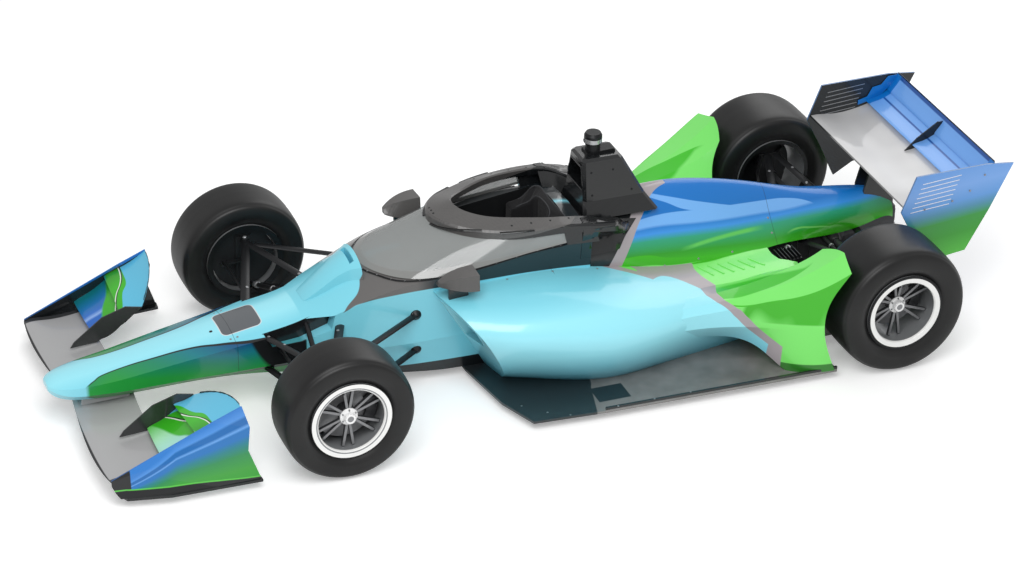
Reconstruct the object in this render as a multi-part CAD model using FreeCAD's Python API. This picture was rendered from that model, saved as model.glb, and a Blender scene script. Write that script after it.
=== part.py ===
import FreeCAD, Part
import math
import os

os.makedirs("parts", exist_ok=True)

Vector = FreeCAD.Vector
ORIGIN = Vector(0, 0, 0)
ALONG = Vector(1, 0, 0)
ACROSS = Vector(0, 1, 0)
UP = Vector(0, 0, 1)

# Driving dimensions of the whole car, in millimetres.
wheelbase = 3010.0
nose_overhang = 1268.0
tail_overhang = 797.0
overall_width = 1948.0
hoop_height = 1050.0
running_gap = 6.0
seat_clearance = 0.3
cut_overrun = 200.0

# Bodywork.
cover_skin = 14.0
guard_skin = 16.0
plate_skin = 7.0
floor_thickness = 14.0
floor_lip_width = 12.0
floor_lip_height = 16.0
recess_depth = 44.0
duct_slot_width = 22.0
frame_depth = 44.0
frame_chamfer = 9.0
screen_thickness = 7.0
intake_depth = 220.0
inlet_depth = 260.0
exhaust_bay_depth = 150.0

# Wings, camera and mirrors.
nose_pylon_thickness = 14.0
rear_plate_thickness = 10.5
rear_pylon_thickness = 14.0
rear_pylon_y = 40.0
wing_tyre_gap = 34.5
camera_half_width = 36.0
camera_stem_radius = 39.0
camera_head_radius = 47.0
camera_crown_height = 14.0
mirror_stalk_thickness = 14.0

# Cockpit.
column_radius = 14.0
wheel_grip_radius = 16.0
steering_wheel_half_width = 135.0
steering_wheel_half_height = 85.0
seat_half_width = 165.0
headrest_half_width = 200.0
head_space_half_width = 110.0

# Front wheel and tyre.
front_tyre_radius = 338.0
front_tyre_width = 292.0
front_rim_radius = 208.0
front_rim_bore = 177.0
front_rim_width = 268.0
front_hub_inset = 52.0

# Rear wheel and tyre.
rear_tyre_radius = 356.0
rear_tyre_width = 381.0
rear_rim_radius = 212.0
rear_rim_bore = 190.0
rear_rim_width = 356.0
rear_hub_inset = 96.0

# Parts that both kinds of wheel share.
rim_flange = 12.0
rim_wall = 6.0
tyre_facets = 60
tyre_seat_clearance = 0.25
spoke_depth = 18.0
spoke_width = 13.0
spoke_pair_angle = 18.0
spoke_pairs = 6
hub_radius = 46.0
hub_depth = 44.0
hub_nut_radius = 27.0
hub_nut_length = 34.0
stub_axle_radius = 24.0
bearing_clearance = 0.5
brake_disc_radius = 150.0
brake_disc_thickness = 24.0

# Steering and front corner.
kingpin_inset = 126.0
kingpin_radius = 8.0
kingpin_clearance = 0.4
ball_boss_radius = 17.0
ball_boss_height = 20.0
lug_thickness = 9.0
lug_gap = 1.0
lug_room_radius = 25.5
upright_width = 90.0
upright_thickness = 18.0
steering_arm_reach = 115.0
steering_arm_width = 34.0
steering_arm_thickness = 10.0
tie_rod_radius = 9.0
tie_rod_drop = 14.0
tie_rod_pin_radius = 5.0
tie_rod_eye_radius = 12.5
tie_rod_ball_radius = 11.0
steering_boss_radius = 21.0
drum_cover_radius = 169.0
drum_cover_thickness = 8.0
drum_cover_setback = 30.0

# Suspension arms.
arm_chord = 46.0
arm_thickness = 18.0
push_rod_radius = 13.0
half_shaft_radius = 17.0
rear_upright_inset = 20.0
rear_upright_thickness = 40.0
rear_upright_half_width = 60.0
rear_upright_waist = 76.0
rear_upright_foot = 50.0
rear_upright_rise = 112.0
rear_upright_drop = 108.0
rear_sleeve_length = 70.0
rear_sleeve_wall = 19.0

# Derived places.
half_width = overall_width / 2
front_axle_x = (wheelbase + nose_overhang + tail_overhang) / 2 - nose_overhang
rear_axle_x = front_axle_x - wheelbase
front_wheel_y = half_width - front_tyre_width / 2
rear_wheel_y = half_width - rear_tyre_width / 2
kingpin_y = front_wheel_y - kingpin_inset


def station(share):
    """Length position: -1 nose tip, 0 front axle, 1 rear axle, 2 tail."""
    if share < 0:
        return front_axle_x - share * nose_overhang
    if share <= 1:
        return front_axle_x - share * wheelbase
    return rear_axle_x - (share - 1) * tail_overhang


def place(along_share, across_share, up_share):
    """A point from its three shares of the car's size."""
    return Vector(station(along_share), across_share * half_width, up_share * hoop_height)


def mirrored(shape):
    """The same shape on the right side of the car."""
    return shape.mirror(ORIGIN, ACROSS)


def with_mirror(shape):
    return shape.fuse(mirrored(shape))


def flipped(point):
    return Vector(point.x, -point.y, point.z)


def spline(points):
    curve = Part.BSplineCurve()
    curve.interpolate(points)
    return curve.toShape()


def line(start, end):
    return Part.LineSegment(start, end).toShape()


def polygon(points):
    return Part.makePolygon(points + [points[0]])


def skinned(wires, straight=False):
    """A solid through a row of closed sections."""
    return Part.makeLoft(wires, True, straight)


def slab(points, thickness_vector):
    """A flat outline given a thickness."""
    return Part.Face(polygon(points)).extrude(thickness_vector)


def box_between(low, high):
    size = high.sub(low)
    return Part.makeBox(size.x, size.y, size.z, low)


def rod(start, end, radius):
    span = end.sub(start)
    return Part.makeCylinder(radius, span.Length, start, span)


def strut(start, end, chord, thickness):
    """A streamlined arm: a lens-shaped section drawn from start to end."""
    span = end.sub(start)
    direction = Vector(span).normalize()
    chord_way = ALONG.sub(Vector(direction).multiply(direction.dot(ALONG))).normalize()
    flat_way = direction.cross(chord_way)
    lead = start.add(Vector(chord_way).multiply(chord / 2))
    trail = start.sub(Vector(chord_way).multiply(chord / 2))
    above = start.add(Vector(flat_way).multiply(thickness / 2))
    below = start.sub(Vector(flat_way).multiply(thickness / 2))
    outline = Part.Wire([Part.Arc(lead, above, trail).toShape(), Part.Arc(trail, below, lead).toShape()])
    return Part.Face(outline).extrude(span)


def turned(profile, centre):
    """A ring about an axle: profile holds (radius, offset along the axle) corners."""
    corners = [Vector(centre.x, centre.y + offset, centre.z + radius) for radius, offset in profile]
    return Part.Face(polygon(corners)).revolve(centre, ACROSS, 360)


# Places along a wing's chord: (chord, half thickness, drop), from behind the nose to the tail.
aerofoil_shares = [(0.08, 0.3, 0.3), (0.38, 0.5, 1.0), (0.72, 0.3, 0.75), (1, 0.125, 0)]


def aerofoil(lead, trail, thickness_share, camber_share):
    """A closed lengthwise section that bellies downwards, with a blunt trailing edge."""
    chord = trail.sub(lead)
    normal = Vector(chord.z, 0, -chord.x).normalize()
    if normal.z < 0:
        normal = normal.negative()

    def on_section(chord_share, lift_share):
        base = lead.add(Vector(chord).multiply(chord_share))
        return base.add(Vector(normal).multiply(lift_share * chord.Length))

    lines = []
    for side in (1, -1):
        outline = [lead]
        for chord_share, half_share, drop_share in aerofoil_shares:
            out_share = side * half_share * thickness_share
            outline.append(on_section(chord_share, out_share - drop_share * camber_share))
        lines.append(outline)
    upper, lower = lines
    return Part.Wire([spline(upper), line(upper[-1], lower[-1]), spline(lower[::-1])])


def ring_section(along_share, half_shares):
    """A closed cross-section of the body from the left half's corners, top centre first.

    The crown is one arc from shoulder to shoulder and the other sides are straight.
    """
    left = [place(along_share, across, up) for across, up in half_shares]
    right = [flipped(point) for point in left]
    edges = [Part.Arc(left[1], left[0], right[1]).toShape()]
    edges += [line(a, b) for a, b in zip(right[1:], right[2:])]
    edges.append(line(right[-1], left[-1]))
    down = left[1:]
    edges += [line(a, b) for a, b in zip(down[::-1], down[::-1][1:])]
    return Part.Wire(edges)


def body_loft(rows, straight=False):
    """The body through rows of (station share, left half's corner shares)."""
    return skinned([ring_section(along, corners) for along, corners in rows], straight)


def arch_section(along_share, half_shares):
    """A closed cross-section whose roof is one smooth curve from side to side."""
    left = [place(along_share, across, up) for across, up in half_shares]
    roof = left[::-1] + [flipped(point) for point in left[1:]]
    return Part.Wire([spline(roof), line(roof[-1], roof[0])])


def arch_loft(rows):
    return skinned([arch_section(along, corners) for along, corners in rows])


def side_loft(rows):
    """A solid on the left side through rows of (station share, section shares).

    A section runs from the inner top round the outside to the foot as one smooth curve. The inner
    side and the foot are straight.
    """
    wires = []
    for along, corners in rows:
        points = [place(along, across, up) for across, up in corners]
        inner_y = pod_inner_share * half_width
        inner_foot = Vector(points[-1].x, inner_y, points[-1].z)
        inner_top = Vector(points[0].x, inner_y, points[0].z)
        wires.append(Part.Wire([spline(points), line(points[-1], inner_foot),
                                line(inner_foot, inner_top), line(inner_top, points[0])]))
    return skinned(wires)


floor_base_share = 0.0438


def lined(points, thickness):
    """The open line of points at one station, moved to its right-hand side by a thickness."""
    sides = []
    for start, end in zip(points, points[1:]):
        run = end.sub(start).normalize()
        sides.append(Vector(0, -run.z, run.y).negative())
    moved = [points[0].add(Vector(sides[0]).multiply(thickness))]
    for point, before, after in zip(points[1:], sides, sides[1:]):
        mitre = before.add(after).multiply(thickness / (1 + before.dot(after)))
        moved.append(point.add(mitre))
    moved.append(points[-1].add(Vector(sides[-1]).multiply(thickness)))
    return moved


def floor_top():
    return floor_base_share * hoop_height + floor_thickness


def under_floor_room():
    """Everything below the floor's top face, which trims what stands on it."""
    return box_between(Vector(station(2), -half_width, -cut_overrun),
                       Vector(station(-1) + cut_overrun, half_width, floor_top()))


# Nose and tub in one row: (station, half-section corners from top centre to bottom corner).
body_shares = [
    (-1.0, [(0.0, 0.2495), (0.0411, 0.2438), (0.0452, 0.2343), (0.0349, 0.221)]),
    (-0.974, [(0.0, 0.2629), (0.0842, 0.2457), (0.0903, 0.2248), (0.0657, 0.1952)]),
    (-0.9227, [(0.0, 0.2743), (0.1191, 0.2495), (0.1273, 0.2152), (0.0903, 0.179)]),
    (-0.8281, [(0.0, 0.2876), (0.1437, 0.261), (0.154, 0.2152), (0.1068, 0.1714)]),
    (-0.694, [(0.0, 0.3105), (0.1602, 0.2819), (0.1725, 0.219), (0.1191, 0.1714)]),
    (-0.5363, [(0.0, 0.3429), (0.1745, 0.3143), (0.1889, 0.2286), (0.1253, 0.1771)]),
    (-0.3785, [(0.0, 0.3752), (0.1889, 0.3448), (0.2012, 0.2343), (0.1314, 0.181)]),
    (-0.1183, [(0.0, 0.4286), (0.2115, 0.3943), (0.2259, 0.2457), (0.154, 0.1676)]),
    (0.0498, [(0.0, 0.5181), (0.2382, 0.4629), (0.2649, 0.2629), (0.1848, 0.1276)]),
    (0.1096, [(0.0, 0.6095), (0.269, 0.5333), (0.2916, 0.2724), (0.2053, 0.099)]),
    (0.1728, [(0.0, 0.6571), (0.2998, 0.5924), (0.308, 0.2762), (0.2259, 0.0743)]),
    (0.2525, [(0.0, 0.6819), (0.3265, 0.621), (0.308, 0.2762), (0.2464, 0.0571)]),
    (0.3322, [(0.0, 0.7048), (0.3388, 0.6533), (0.3039, 0.2762), (0.2567, 0.0571)]),
    (0.4286, [(0.0, 0.7333), (0.3429, 0.6876), (0.2977, 0.2762), (0.2567, 0.0571)]),
    (0.505, [(0.0, 0.7429), (0.3347, 0.701), (0.2936, 0.2762), (0.2567, 0.0571)]),
]
nose_joint_share = -0.2603
duct_shares = [
    (0.0199, [(0.0, 0.48), (0.0595, 0.4743), (0.0637, 0.4476), (0.0595, 0.4095)]),
    (0.0598, [(0.0, 0.5771), (0.0821, 0.56), (0.0924, 0.5143), (0.0883, 0.4381)]),
    (0.093, [(0.0, 0.6457), (0.1006, 0.621), (0.117, 0.5619), (0.1109, 0.4571)]),
    (0.1146, [(0.0, 0.68), (0.1355, 0.6438), (0.1704, 0.5714), (0.154, 0.4571)]),
]
duct_slot_shares = [(0.1003, 0.6095), (0.1003, 0.7238)]
duct_slot_reach_share = 0.076
recess_shares = [(-0.1498, 0.4), (0.0565, 0.4686), (0.0498, 0.3962), (-0.0, 0.3486), (-0.1183, 0.3352)]
recess_side_share = 0.2197
footwell_shares = [(0.0432, 0.1232, 0.219, 0.1437, 0.4), (0.2126, 0.1951, 0.1238, 0.231, 0.5333)]
well_shares = [(0.1993, 0.191, 0.1048, 0.2526, 0.819), (0.4784, 0.2053, 0.1048, 0.269, 0.819)]


def room_through(rows):
    """A straight-sided room through rows of (station, floor half width, floor, roof half width, roof)."""
    wires = []
    for along, low_across, low, high_across, high in rows:
        wires.append(polygon([place(along, -low_across, low), place(along, low_across, low),
                              place(along, high_across, high), place(along, -high_across, high)]))
    return skinned(wires, True)


def cockpit_space():
    """The driver's space: a well open at the top and a footwell that runs on under the cowl."""
    return room_through(footwell_shares).fuse(room_through(well_shares))


def rack_tunnel(radius):
    centre = rack_centre()
    return rod(Vector(centre.x, -half_width, centre.z), Vector(centre.x, half_width, centre.z), radius)


def rack_centre():
    return Vector(front_axle_x + steering_arm_reach, 0, front_tyre_radius + tie_rod_drop)


def ahead_of(along_share):
    """Everything in front of one station."""
    return box_between(Vector(station(along_share), -half_width, -cut_overrun),
                       Vector(station(-1) + cut_overrun, half_width, hoop_height + cut_overrun))


def body_envelope():
    return body_loft(body_shares)


def nose_envelope():
    return body_envelope().common(ahead_of(nose_joint_share))


def arm_recess():
    """The pocket in the tub's left side where the front arms reach it."""
    outline = [place(along, recess_side_share, up) for along, up in recess_shares]
    inner = Vector(0, -recess_depth, 0)
    return slab([point.add(inner) for point in outline], Vector(0, recess_depth + cut_overrun, 0))


def tub_envelope():
    """The tub's outside, with the duct on its nose and the pockets for the front arms."""
    low, high = [place(along, -duct_slot_reach_share, up) for along, up in duct_slot_shares]
    back = Vector(-duct_slot_width, 0, 0)
    slot = slab([low, high, high.add(back),
    low.add(back)], Vector(0, 2 * duct_slot_reach_share * half_width, 0))
    tub = body_loft(duct_shares).cut(slot).fuse(body_envelope().cut(ahead_of(nose_joint_share)))
    return tub.cut(with_mirror(arm_recess())).cut(under_floor_room()).removeSplitter()


def monocoque():
    return tub_envelope().cut(cockpit_space()).cut(rack_tunnel(tie_rod_radius + bearing_clearance))


# Front wing.
wing_lead_shares = [(0, -0.8959, 0.1219), (0.3696, -0.9274, 0.12), (0.7084, -0.9306, 0.1238),
                    (0.8255, -0.9211, 0.1333)]
wing_trail_shares = [(0, -0.6546, 0.1429), (0.3696, -0.6767, 0.1429), (0.7084, -0.6798, 0.1448),
                     (0.8255, -0.6798, 0.1448)]
nose_pylon_shares = [(-0.8754, 0.1333), (-0.8596, 0.2286), (-0.694, 0.2286), (-0.6782, 0.141)]
nose_pylon_side_share = 0.0719
main_thickness_share = 0.13
main_camber_share = 0.07


def wing_half_sections(leads, trails, thickness_share, camber_share):
    sections = []
    for (across, lead_along, lead_up), (_, trail_along, trail_up) in zip(leads, trails):
        sections.append(aerofoil(place(lead_along, across, lead_up), place(trail_along, across, trail_up),
                                 thickness_share, camber_share))
    return sections


def front_wing_mainplane():
    half = skinned(wing_half_sections(wing_lead_shares, wing_trail_shares,
                                      main_thickness_share, main_camber_share))
    wing = with_mirror(half)
    pylon = slab([place(along, nose_pylon_side_share, up) for along, up in nose_pylon_shares],
                 Vector(0, nose_pylon_thickness, 0))
    return wing.fuse(with_mirror(pylon)).cut(nose_envelope()).removeSplitter()


# Front endplate: its top edge, mid crease, waist and foot run back from one tip and flare outwards.
endplate_rows_shares = [
    [(-0.9196, 0.8275, 0.1429), (-0.9196, 0.8337, 0.1143), (-0.9069, 0.8439, 0.0819),
    (-0.8912, 0.8563, 0.0552)],
    [(-0.7098, 0.8296, 0.2571), (-0.7137, 0.8522, 0.1952), (-0.7098, 0.8686, 0.1238),
    (-0.7019, 0.8953, 0.0533)],
    [(-0.5205, 0.8326, 0.36), (-0.5205, 0.8604, 0.2667), (-0.5166, 0.8809, 0.1619),
    (-0.5126, 0.9097, 0.0514)],
    [(-0.4022, 0.8337, 0.419), (-0.377, 0.8583, 0.3143), (-0.388, 0.8747, 0.2), (-0.3438, 0.9097, 0.0514)],
]


def creased_plate(grid, thickness_vector):
    """A thin plate of flat facets through a grid of points, with a crease along every row of it."""
    back = [[point.add(thickness_vector) for point in row] for row in grid]
    faces = []
    for points in (grid, back):
        for row, following in zip(points, points[1:]):
            for a, b, c, d in zip(row, row[1:], following[1:], following):
                faces.append(Part.Face(polygon([a, b, c])))
                faces.append(Part.Face(polygon([a, c, d])))
    rim = grid[0] + [row[-1] for row in grid[1:]] + grid[-1][-2::-1] + [row[0] for row in grid[-2:0:-1]]
    for a, b in zip(rim, rim[1:] + rim[:1]):
        faces.append(Part.Face(polygon([a, b, b.add(thickness_vector), a.add(thickness_vector)])))
    shell = Part.Shell(faces)
    shell.sewShape()
    solid = Part.Solid(shell)
    if solid.Volume < 0:
        solid.reverse()
    return solid


def outboard_room():
    """Everything from the endplate's inner face outwards, which trims what meets the plate."""

    grid = [[place(*shares).sub(Vector(0, plate_skin, 0)) for shares in row] for row in endplate_rows_shares]
    return creased_plate(grid, Vector(0, cut_overrun, 0))


flap_lead_shares = [(0.4538, -0.694, 0.1676), (0.6571, -0.7019, 0.1714), (0.8624, -0.7043, 0.1781)]
flap_trail_shares = [(0.4538, -0.5726, 0.2495), (0.6571, -0.5694, 0.2724), (0.8624, -0.5639, 0.2876)]
top_flap_lead_shares = [(0.4538, -0.5868, 0.2724), (0.6571, -0.5836, 0.2914), (0.8624, -0.5773, 0.3067)]
top_flap_trail_shares = [(0.4538, -0.5047, 0.301), (0.6571, -0.4227, 0.3924), (0.8624, -0.4038, 0.4095)]
flap_thickness_share = 0.1
flap_camber_share = 0.08
strake_shares = [(-0.8044, 0.1448), (-0.7886, 0.1733), (-0.6703, 0.2857), (-0.571, 0.3238),
                 (-0.5047, 0.3067),
                 (-0.5726, 0.2381), (-0.694, 0.1543)]
strake_side_share = 0.4517


def front_wing_flaps():
    lower = skinned(wing_half_sections(flap_lead_shares, flap_trail_shares,
                                       flap_thickness_share, flap_camber_share))
    upper = skinned(wing_half_sections(top_flap_lead_shares, top_flap_trail_shares,
                                       flap_thickness_share, flap_camber_share))
    strake = slab([place(along, strake_side_share, up) for along, up in strake_shares],
                  Vector(0, plate_skin, 0))
    return strake.fuse(lower).fuse(upper).cut(front_wing_mainplane()).cut(outboard_room())


footplate_shares = [(-0.8896, 0.7967), (-0.8675, 0.8645), (-0.7019, 0.9076), (-0.3407, 0.9199),
                    (-0.3438, 0.8686),
                    (-0.6782, 0.8378)]
footplate_base_share = 0.0419


def front_wing_endplate():
    grid = [[place(*shares) for shares in row] for row in endplate_rows_shares]
    plate = creased_plate(grid, Vector(0, -plate_skin, 0))
    foot = slab([place(along, across, footplate_base_share) for along, across in footplate_shares],
                Vector(0, 0, floor_thickness))
    joined = plate.fuse(foot)
    return joined.cut(front_wing_mainplane()).cut(front_wing_flaps())


# Screen frame: outer and inner edge of its rail on the left half, front centre first.
frame_outer_shares = [(0.2465, 0, 0.8152), (0.2631, 0.1335, 0.8124), (0.2977, 0.2197, 0.8),
                      (0.3322, 0.2731, 0.7971), (0.3688, 0.3121, 0.7962), (0.4086, 0.3337, 0.8),
                      (0.4651, 0.348, 0.8), (0.5116, 0.3573, 0.7829), (0.5515, 0.3388, 0.7562)]
frame_inner_shares = [(0.2917, 0, 0.8543), (0.301, 0.0719, 0.8438), (0.3322, 0.152, 0.8305),
                      (0.3654, 0.2053, 0.8305), (0.3953, 0.2361, 0.8305), (0.4252, 0.2567, 0.8257),
                      (0.4718, 0.2731, 0.8152), (0.5116, 0.2669, 0.7886), (0.5515, 0.2115, 0.7467)]
frame_leg_shares = [(0.4485, 0.7981), (0.4578, 0.6914), (0.5169, 0.6819), (0.5027, 0.7971)]
frame_leg_inner_share = 0.3142
frame_leg_outer_share = 0.345


def rail_section(outer, inner):
    """The rail's section: flat on top, chamfered at both shoulders."""
    across = inner.sub(outer).normalize()
    step = Vector(across).multiply(frame_chamfer)
    drop = Vector(0, 0, -frame_chamfer)
    depth = Vector(0, 0, -frame_depth)
    return [outer.add(step), inner.sub(step), inner.add(drop), inner.add(depth).sub(step),
            outer.add(depth), outer.add(drop)]


def both_sides(left_rows):
    """Rows of points from the right rear round the front to the left rear."""
    right_rows = [[flipped(point) for point in row] for row in left_rows[:0:-1]]
    return right_rows + left_rows


def screen_frame():
    rows = [rail_section(place(*outer), place(*inner))
            for outer, inner in zip(frame_outer_shares, frame_inner_shares)]
    rail = skinned([polygon(row) for row in both_sides(rows)])
    leg = slab([place(along, frame_leg_inner_share, up) for along, up in frame_leg_shares],
               Vector(0, (frame_leg_outer_share - frame_leg_inner_share) * half_width, 0))
    return rail.fuse(with_mirror(leg)).cut(tub_envelope()).cut(roll_hoop())


# Windscreen: its base line on the tub and its top line under the frame, front centre first.
screen_base_shares = [(0.1203, 0, 0.6238), (0.1329, 0.1335, 0.6238), (0.1661, 0.2423, 0.619),
                      (0.2126, 0.2998, 0.6171), (0.2857, 0.3306, 0.64), (0.3588, 0.3388, 0.6705),
                      (0.4286, 0.3409, 0.6952), (0.4651, 0.3409, 0.7048)]
screen_top_shares = [(0.2465, 0, 0.7733), (0.2558, 0.1068, 0.7724), (0.2824, 0.1889, 0.7648),
                     (0.3156, 0.2464, 0.7571), (0.3555, 0.2977, 0.7543), (0.392, 0.3203, 0.7562),
                     (0.4319, 0.3347, 0.7581), (0.4585, 0.3388, 0.7581)]


def windscreen():
    rows = []
    for base, top in zip(screen_base_shares, screen_top_shares):
        low, high = place(*base), place(*top)
        inward = Vector(-screen_thickness, -screen_thickness, 0)
        if low.y == 0:
            inward = Vector(-screen_thickness, 0, 0)
        rows.append([low, high, high.add(inward), low.add(inward)])
    screen = skinned([polygon(row) for row in both_sides(rows)])
    return screen.cut(tub_envelope()).cut(screen_frame())


# Roll hoop: (height, front, back, half width) of its levels, and the mouth of its intake.
hoop_shares = [
    (0.7067, 0.5116, 0.6512, 0.1694), (0.7905, 0.5156, 0.6299, 0.1294),
    (0.9867, 0.5169, 0.5914, 0.0903), (1.0, 0.5209, 0.5874, 0.076),
]
hoop_corner = 16.0
intake_shares = [(0.0678, 0.9581), (0.0903, 0.8857), (0.1006, 0.8381)]
intake_start_share = 0.4983


def hoop_level(up, front, back, side):
    """One level of the hoop: an oblong with its four corners cut off."""
    ends = [station(front), station(back)]
    width, height = side * half_width, up * hoop_height
    ahead, behind = ends[0] - hoop_corner, ends[1] + hoop_corner
    narrow = width - hoop_corner
    corners = [(ends[0], narrow), (ahead, width), (behind, width), (ends[1], narrow)]
    left = [Vector(along, across, height) for along, across in corners]
    return polygon(left + [flipped(point) for point in left[::-1]])


def hoop_envelope():
    return skinned([hoop_level(*shares) for shares in hoop_shares], True)


def roll_hoop():
    left = [place(intake_start_share, across, up) for across, up in intake_shares]
    mouth = slab(left + [flipped(point) for point in left[::-1]], Vector(-intake_depth, 0, 0))
    return hoop_envelope().cut(mouth)


camera_base_shares = [(0.5282, 0.9714), (0.5316, 1.0114), (0.5821, 1.0152), (0.5867, 0.9714)]
camera_stem_shares = (0.5465, 1.0, 1.0514, 1.1048)


def camera_pod():
    """A wedge on the hoop with a round stem and a wider round head."""
    base = slab([place(along, 0, up) for along, up in camera_base_shares], Vector(0, camera_half_width, 0))
    along, foot_up, neck_up, top_up = camera_stem_shares
    foot, neck, top = place(along, 0, foot_up), place(along, 0, neck_up), place(along, 0, top_up)
    crown = top.sub(Vector(0, 0, camera_crown_height))
    head = rod(neck, crown, camera_head_radius)
    cap = Part.makeCone(camera_head_radius, camera_stem_radius, camera_crown_height, crown, UP)
    stem = rod(foot, neck, camera_stem_radius)
    return with_mirror(base).fuse(stem).fuse(head).fuse(cap).cut(hoop_envelope())


# Engine cover, from the roll hoop to the tail of the gearbox.
cover_shares = [
    (0.5063, [(0.0, 0.7048), (0.1232, 0.7029), (0.2259, 0.681), (0.2998, 0.6095), (0.308, 0.4952)]),
    (0.5814, [(0.0, 0.7067), (0.1191, 0.7048), (0.2115, 0.6571), (0.2834, 0.5619), (0.308, 0.4476)]),
    (0.6595, [(0.0, 0.7619), (0.0719, 0.7333), (0.1643, 0.6381), (0.2567, 0.5333), (0.306, 0.419)]),
    (0.7508, [(0.0, 0.7429), (0.0575, 0.7143), (0.1335, 0.6286), (0.2279, 0.519), (0.2977, 0.4)]),
    (0.8505, [(0.0, 0.6743), (0.0493, 0.6514), (0.115, 0.581), (0.2053, 0.4876), (0.269, 0.4305)]),
    (0.9468, [(0.0, 0.5924), (0.0431, 0.581), (0.0903, 0.5448), (0.152, 0.4857), (0.1889, 0.3943)]),
    (1.2572, [(0.0, 0.5352), (0.0349, 0.5295), (0.0678, 0.5105), (0.1027, 0.4705), (0.1232, 0.3829)]),
    (1.4718, [(0.0, 0.461), (0.0349, 0.4571), (0.0616, 0.4457), (0.078, 0.4248), (0.0862, 0.3733)]),
]


def cover_envelope():
    return arch_loft(cover_shares)


def cover_room():
    """The room under the cover, straight-sided, set in by the skin."""
    wires = []
    for along, corners in cover_shares:
        left = [place(along, across, up) for across, up in corners]
        inset = [Vector(point.x, max(point.y - cover_skin, 0), point.z - cover_skin) for point in left]
        inset.append(inset[-1].sub(Vector(0, 0, cut_overrun)))
        wires.append(polygon(inset[::-1] + [flipped(point) for point in inset[1:]]))
    return skinned(wires, True)


def engine_cover():
    return cover_envelope().cut(cover_room()).cut(hoop_envelope())


pod_inner_share = 0.2423

# Sidepod sections from the inner top to the foot, and the plane of the slanted inlet lip.
pod_shares = [
    (0.2126, [(0.308, 0.5448), (0.4517, 0.52), (0.5626, 0.4343), (0.4825, 0.2762), (0.2875, 0.0419)]),
    (0.299, [(0.308, 0.56), (0.4928, 0.5371), (0.6612, 0.44), (0.6057, 0.2724), (0.308, 0.0419)]),
    (0.4086, [(0.308, 0.5657), (0.5236, 0.5429), (0.7413, 0.4248), (0.7023, 0.2476), (0.4784, 0.0419)]),
    (0.4934, [(0.308, 0.539), (0.5441, 0.5181), (0.7639, 0.4038), (0.7351, 0.2286), (0.5852, 0.0419)]),
    (0.598, [(0.308, 0.4762), (0.5133, 0.4667), (0.729, 0.3714), (0.694, 0.2095), (0.5626, 0.0419)]),
    (0.7066, [(0.306, 0.4343), (0.462, 0.4248), (0.6222, 0.3676), (0.6057, 0.2095), (0.5072, 0.0419)]),
    (0.814, [(0.2752, 0.4343), (0.4312, 0.4305), (0.5749, 0.4095), (0.5483, 0.2286), (0.4209, 0.0419)]),
    (0.8804, [(0.2505, 0.4286), (0.3593, 0.4229), (0.4805, 0.3943), (0.4517, 0.219), (0.3388, 0.0419)]),
]
lip_top_shares = (0.2206, 0.308, 0.5448)
lip_side_shares = (0.2658, 0.616, 0.4362)
lip_foot_shares = (0.3289, 0.3203, 0.0571)
lip_room_shares = [(-2, -1), (3, -1), (3, 2), (-2, 2)]


def ahead_of_lip():
    """The room in front of the slanted plane through the inlet lip."""
    top, side, foot = place(*lip_top_shares), place(*lip_side_shares), place(*lip_foot_shares)
    outwards, downwards = side.sub(top), foot.sub(top)

    def on_plane(out_share, down_share):
        return top.add(Vector(outwards).multiply(out_share)).add(Vector(downwards).multiply(down_share))

    corners = [on_plane(out_share, down_share) for out_share, down_share in lip_room_shares]
    return slab(corners, Vector(wheelbase / 2, 0, 0))


inlet_shares = [(0.3285, 0.5143), (0.462, 0.4876), (0.5749, 0.419), (0.5339, 0.3143), (0.3285, 0.2857)]
inlet_start_share = 0.2126
exhaust_bay_shares = [(0.8465, 0.3388), (0.8505, 0.4004), (0.8704, 0.4353), (0.897, 0.4353),
                      (0.897, 0.1848),
                      (0.8545, 0.1848), (0.8478, 0.2669)]
exhaust_bay_top_share = 0.4571


def pod_envelope():
    return side_loft(pod_shares).cut(under_floor_room()).cut(ahead_of_lip())


def sidepod():
    mouth = slab([place(inlet_start_share, across, up) for across, up in inlet_shares],
                 Vector(-inlet_depth - cut_overrun, 0, 0))
    bay = slab([place(along, across, exhaust_bay_top_share) for along, across in exhaust_bay_shares],
               Vector(0, 0, -exhaust_bay_depth))
    return pod_envelope().cut(mouth).cut(bay).cut(tub_envelope()).cut(cover_envelope())


# Wheel guard ahead of the rear tyre: a ridge that rises from the pod to a broad flat top.
guard_shares = [
    (0.5947, [(0.5133, 0.4514), (0.6057, 0.4286), (0.6653, 0.4038), (0.7064, 0.36), (0.7043, 0.2952),
              (0.6489, 0.2171)]),
    (0.6578, [(0.5133, 0.4267), (0.6078, 0.419), (0.6674, 0.4038), (0.7105, 0.3752), (0.7064, 0.2952),
              (0.6407, 0.2114)]),
    (0.7143, [(0.5113, 0.4152), (0.6057, 0.4267), (0.6858, 0.421), (0.7474, 0.3981), (0.7413, 0.2933),
              (0.6571, 0.1962)]),
    (0.7641, [(0.5031, 0.4152), (0.6078, 0.4457), (0.7187, 0.4552), (0.8172, 0.4419), (0.809, 0.2952),
              (0.7515, 0.1524)]),
    (0.814, [(0.4825, 0.419), (0.616, 0.4819), (0.7546, 0.4971), (0.8912, 0.4838), (0.8891, 0.2952),
             (0.885, 0.0324)]),
    (0.8638, [(0.5133, 0.4305), (0.6283, 0.5352), (0.7854, 0.5657), (0.9425, 0.5505), (0.9487, 0.3143),
              (0.9384, 0.0324)]),
    (0.905, [(0.6099, 0.5333), (0.6674, 0.64), (0.8162, 0.6476), (0.9589, 0.6229), (0.961, 0.3238),
             (0.9548, 0.0324)]),
]
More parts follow.
